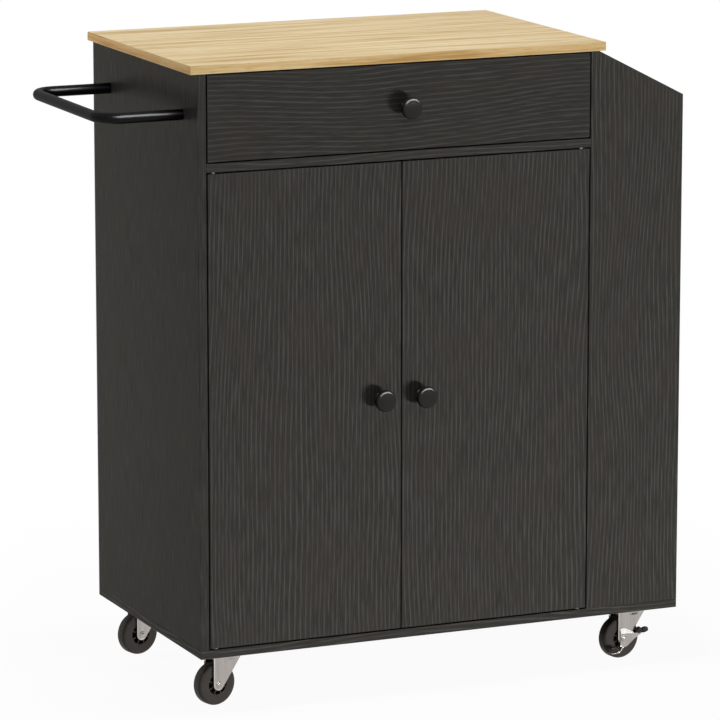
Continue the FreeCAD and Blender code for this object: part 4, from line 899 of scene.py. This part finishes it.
class ISLAND_OT_brake_levers(bpy.types.Operator):
    """Bend the two brake levers and cap their pedals"""
    bl_idname = "island.brake_levers"
    bl_label = "Brake levers"
    # Places in millimetres from the axle, towards the kingpin and up.
    plate_top = ((-6.5, 8), (2, 9), (11.6, 7.4), (19, 5.4))
    plate_tip = (29, 4.9)
    plate_under = ((25.3, 1.3), (17.3, -2.8))
    shoulder_low = ((-6.9, 8.4), (-2, 7.6), (4, 7.4), (11, 6.4), (19, 5.4))
    shoulder_high = ((-6.6, 15), (-1, 15.4), (4.5, 13.6), (11, 10.2), (19, 6.4))
    tongue_start = ((-4.6, -10.4), (-10.2, -15.6))
    # Each cap's place with its step out from the lever, its half size, and its turn in degrees.
    caps = {
        "pedal": ((34, 0.5, 8.8), (6.0, 4.2, 3.8), -12),
        "stem": ((25, 0.2, 9.4), (4.4, 3.2, 4.6), -48),
        "release": ((-19.6, 2.6, -12.6), (7.6, 3.4, 3.2), 6),
    }

    def execute(self, context):
        sizes = context.scene.island_casters
        for corner in BRAKED:
            place = axle_place(corner)
            inner = -(sizes.leg_outside + sizes.lever_gap)
            outer = inner - sizes.lever_sheet
            body = f"{corner}_brake"
            bm = bmesh.new()
            extrude(bm, self.plate_outline(), outer, inner, place)
            tongue = self.strip(sizes.lever_sheet, self.tongue_run())
            extrude(bm, tongue, outer - sizes.tongue_step, inner, place)
            self.add_shoulder(bm, place, outer - sizes.shoulder_step, inner)
            lever = add_piece(f"{corner}_bent_lever", bm, "zinc_steel", body, f"{corner}_brake_lever")
            # The shoulder's slope takes the near-white zinc, a painted highlight.
            lever.data.materials.append(finish_for("shoulder_highlight_zinc"))
            soften(lever, sizes.sheet_edge, 3)
            for name, ((x, step, z), half, turn) in self.caps.items():
                spot = place @ Matrix.Translation((x * MM, outer - step * MM, z * MM))
                self.add_cap(f"{corner}_{name}_cap", body, spot, Vector(half) * MM, math.radians(turn))
        return {"FINISHED"}

    def in_metres(self, points):
        """Points given in millimetres, in metres."""
        return [(x * MM, z * MM) for x, z in points]

    def plate_outline(self):
        """The plate: a broad lobe under the rivet and an arm out to the pedal."""
        lobe, corner, tip = 12.8 * MM, 2.6 * MM, 1.8 * MM
        corner_middle, tip_middle = self.in_metres(((-3.9, -9.6), self.plate_tip))
        points = arc((0, 0), lobe, -58, -105, 8)
        points += arc(corner_middle, corner, -105, -180, 4)
        points += self.in_metres(self.plate_top)
        points += arc(tip_middle, tip, 90, -60, 6)
        return points + self.in_metres(self.plate_under)

    def add_shoulder(self, bm, place, outer, inner):
        """The plate's upper edge, which slopes back to the fork and catches the light from above; its slope is a
        painted near-white highlight.
        """
        blunt = 0.4 * MM
        # The side that slopes, which takes the painted highlight.
        slope = 0
        stations = []
        edges = zip(self.in_metres(self.shoulder_low), self.in_metres(self.shoulder_high))
        for (low_x, low_z), (high_x, high_z) in edges:
            spots = ((low_x, outer, low_z), (high_x, inner - blunt, high_z),
                     (high_x, inner, high_z), (low_x, inner, low_z))
            stations.append([bm.verts.new(place @ Vector(spot)) for spot in spots])
        for here, there in zip(stations, stations[1:]):
            for side in range(4):
                after = (side + 1) % 4
                face = bm.faces.new((here[side], here[after], there[after], there[side]))
                face.material_index = int(side == slope)
        bm.faces.new(stations[0])
        bm.faces.new(stations[-1])

    def tongue_run(self):
        """The release tongue: a strip from the lobe, bent level and curled up at its end."""
        bend, curl = 4.2 * MM, 5 * MM
        bend_middle, curl_middle = self.in_metres(((-14.4, -13.8), (-23, -13)))
        run = self.in_metres(self.tongue_start)
        run += arc(bend_middle, bend, -25, -90, 4)
        return run + arc(curl_middle, curl, -90, -122, 3)

    def strip(self, thickness, run):
        """The outline of a strip of sheet along a run of (x, z) points."""
        left, right = [], []
        for index, (x, z) in enumerate(run):
            before, after = run[max(0, index - 1)], run[min(len(run) - 1, index + 1)]
            way = Vector((after[0] - before[0], after[1] - before[1])).normalized() * thickness / 2
            left.append((x - way.y, z + way.x))
            right.append((x + way.y, z - way.x))
        return left + right[::-1]

    def add_cap(self, name, body, place, half, turn):
        """A moulded cap: a rounded block whose faces swell a little."""
        bm = bmesh.new()
        bmesh.ops.create_cube(bm, size=2)
        bmesh.ops.subdivide_edges(bm, edges=bm.edges, cuts=5, use_grid_fill=True)
        tilt = Matrix.Rotation(turn, 4, "Y")
        for vertex in bm.verts:
            x, y, z = vertex.co
            swollen = Vector((x * math.sqrt(1 - y * y / 4 - z * z / 4 + y * y * z * z / 6),
                              y * math.sqrt(1 - z * z / 3 - x * x / 3 + z * z * x * x / 4),
                              z * math.sqrt(1 - x * x / 2.4 - y * y / 3 + x * x * y * y / 5)))
            vertex.co = place @ tilt @ Vector((swollen.x * half.x, swollen.y * half.y, swollen.z * half.z))
        cap = add_piece(name, bm, "wheel_plastic", body, finish="pedal_cap")
        smooth = cap.modifiers.new("Moulded", "SUBSURF")
        smooth.levels = smooth.render_levels = 1


def direction_from(azimuth, elevation):
    """The way from the island towards a camera or lamp; azimuth 0 is in front, and grows to the right."""
    level = math.cos(elevation)
    return Vector((math.sin(azimuth) * level, -math.cos(azimuth) * level, math.sin(elevation)))


def soft_lamp(name, azimuth, elevation, distance, aim, width, height, turn=0.0, level=0.0, shine=0.0):
    """A rectangular lamp; turn swings its face aside, so that its light falls off across the island.

    Its brightness is given as the level of a white face turned to it, or as the shine of its own image.
    """
    data = bpy.data.lights.new(name, "AREA")
    data.shape = "RECTANGLE"
    data.size, data.size_y = width, height
    data.energy = level * math.pi ** 2 * distance ** 2 / math.cos(math.radians(turn))
    data.energy += shine * math.pi * width * height
    lamp = bpy.data.objects.new(name, data)
    towards = direction_from(math.radians(azimuth), math.radians(elevation))
    lamp.location = Vector(aim) + towards * distance
    facing_aim = towards.to_track_quat("Z", "Y").to_matrix()
    lamp.rotation_euler = (Matrix.Rotation(math.radians(turn), 3, "Z") @ facing_aim).to_euler()
    lamp.visible_camera = False
    bpy.context.scene.collection.objects.link(lamp)
    return lamp


def seen_directly(tree):
    """1 for what the camera sees, straight or in a shiny or clear surface, and 0 for other light."""
    path = put(tree, "LightPath").node.outputs
    either = put(tree, "Math", {"Value": path["Is Camera Ray"], "Value_001": path["Is Glossy Ray"]},
                 operation="MAXIMUM")
    return put(tree, "Math", {"Value": either, "Value_001": path["Is Transmission Ray"]}, operation="MAXIMUM")


class ISLAND_OT_stage(bpy.types.Operator):
    """Set up the floor, the lamps and the camera"""
    bl_idname = "island.stage"
    bl_label = "Stage"

    def execute(self, context):
        scene = context.scene
        setup = scene.island_stage
        aim = Vector((setup.aim_side, 0, setup.aim_height))
        self.add_camera(scene, setup, aim)
        self.add_floor(scene, setup)
        # The key lamp shines up through the floor, as the shadows beside the knobs show.
        key = soft_lamp("Key lamp", azimuth=33, elevation=-16, distance=4.8, aim=aim, width=2.2, height=0.3,
                        turn=45, level=setup.key_level)
        side = soft_lamp("Side lamp", azimuth=-135, elevation=-3, distance=3.0, aim=(0, 0, 0.65), width=0.4,
                         height=0.4, level=setup.side_level)
        top = soft_lamp("Top lamp", azimuth=-15, elevation=84, distance=2.4, aim=(0, 0, 0.8), width=0.7,
                        height=0.4, level=setup.top_level)
        # These three light the island, but don't show in its shiny parts.
        for lamp in (key, side, top):
            lamp.visible_glossy = False
        # The soft box is there for its image alone: the streak on the towel bar and the knobs' crescents.
        box = soft_lamp("Soft box", azimuth=23, elevation=42, distance=2.6, aim=(0, 0, 0.6), width=4.2,
                        height=1.4, shine=setup.box_shine)
        box.visible_diffuse = False
        self.keep_off(box, "worktop")
        self.light_world(scene, setup)
        scene.view_settings.view_transform = "Standard"
        return {"FINISHED"}

    def keep_off(self, lamp, name):
        """Keeps a lamp's light off one node: the worktop would mirror the soft box as white from behind."""
        spared = bpy.data.collections.new(f"Spared by the {lamp.name.lower()}")
        spared.objects.link(NODES[name])
        spared.collection_objects[0].light_linking.link_state = "EXCLUDE"
        lamp.light_linking.receiver_collection = spared

    def add_camera(self, scene, setup, aim):
        """Places the camera at the photograph's angle."""
        data = bpy.data.cameras.new("Camera")
        data.sensor_width = 36
        data.lens = setup.lens
        camera = bpy.data.objects.new("Camera", data)
        towards = direction_from(setup.azimuth, setup.elevation)
        camera.location = aim + towards * setup.distance
        camera.rotation_euler = towards.to_track_quat("Z", "Y").to_euler()
        scene.collection.objects.link(camera)
        scene.camera = camera

    def add_floor(self, scene, setup):
        """Lays a pale floor that fades to pure white away from the island and keeps its shadow."""
        bm = bmesh.new()
        bmesh.ops.create_grid(bm, x_segments=8, y_segments=8, size=setup.floor_reach)
        mesh = bpy.data.meshes.new("floor")
        bm.to_mesh(mesh)
        bm.free()
        made, tree, shader = new_finish("Pale floor", Base_Color=setup.floor, Roughness=0.9,
                                        Specular_IOR_Level=0.0)
        place = put(tree, "TexCoord").node.outputs["Object"]
        away = put(tree, "VectorMath", {"Vector": place}, operation="LENGTH").node.outputs["Value"]
        near = put(tree, "MapRange", {"Value": away, "From Min": setup.fade_start, "From Max": setup.fade_end,
                                      "To Min": 1 - setup.floor_shadow, "To Max": 1.0},
                   interpolation_type="SMOOTHSTEP")
        plain = put(tree, "Math", {"Value": near, "Value_001": seen_directly(tree)}, operation="MULTIPLY")
        white = put(tree, "Emission", {"Color": setup.floor, "Strength": 1.0})
        lit = tree.nodes["Principled BSDF"].outputs[0]
        mixed = put(tree, "MixShader", {"Fac": plain, "Shader": lit, "Shader_001": white})
        tree.links.new(mixed, tree.nodes["Material Output"].inputs["Surface"])
        mesh.materials.append(made)
        floor = bpy.data.objects.new("floor", mesh)
        floor.visible_shadow = False
        scene.collection.objects.link(floor)

    def light_world(self, scene, setup):
        """Shows the world as white, while its light on the island stays low."""
        world = bpy.data.worlds.new("World")
        world.use_nodes = True
        tree = world.node_tree
        strength = put(tree, "Mix", {"Factor_Float": seen_directly(tree), "A_Float": setup.ambient,
                                     "B_Float": 1.0})
        background = tree.nodes["Background"]
        background.inputs["Color"].default_value = linear("#FFFFFF")
        tree.links.new(strength, background.inputs["Strength"])
        scene.world = world


PIECES = (ISLAND_OT_laminate, ISLAND_OT_worktop, ISLAND_OT_thin_panels, ISLAND_OT_towel_bar,
          ISLAND_OT_guard_rails, ISLAND_OT_knobs, ISLAND_OT_door_fittings, ISLAND_OT_runners,
          ISLAND_OT_fixings, ISLAND_OT_caster_mounts, ISLAND_OT_forks, ISLAND_OT_wheels,
          ISLAND_OT_axles, ISLAND_OT_brake_levers, ISLAND_OT_stage)


class ISLAND_PT_panel(bpy.types.Panel):
    """Lists the steps of the island's finish"""
    bl_label = "Kitchen island"
    bl_idname = "ISLAND_PT_panel"
    bl_space_type = "VIEW_3D"
    bl_region_type = "UI"
    bl_category = "Island"

    def draw(self, context):
        for operator in PIECES:
            self.layout.operator(operator.bl_idname)


GROUPS = {
    "island_laminate": IslandLaminate,
    "island_oak": IslandOak,
    "island_fittings": IslandFittings,
    "island_casters": IslandCasters,
    "island_stage": IslandStage,
}


def register():
    """Makes the groups, the steps and the panel known to Blender"""
    for name, group in GROUPS.items():
        bpy.utils.register_class(group)
        setattr(bpy.types.Scene, name, bpy.props.PointerProperty(type=group))
    for operator in PIECES:
        bpy.utils.register_class(operator)
    bpy.utils.register_class(ISLAND_PT_panel)


def unregister():
    """Takes them away again, in the other order"""
    bpy.utils.unregister_class(ISLAND_PT_panel)
    for operator in reversed(PIECES):
        bpy.utils.unregister_class(operator)
    for name, group in reversed(GROUPS.items()):
        delattr(bpy.types.Scene, name)
        bpy.utils.unregister_class(group)


def main():
    """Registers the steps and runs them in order."""
    register()
    for operator in PIECES:
        group, step = operator.bl_idname.split(".")
        getattr(getattr(bpy.ops, group), step)()


if __name__ == "__main__":
    main()
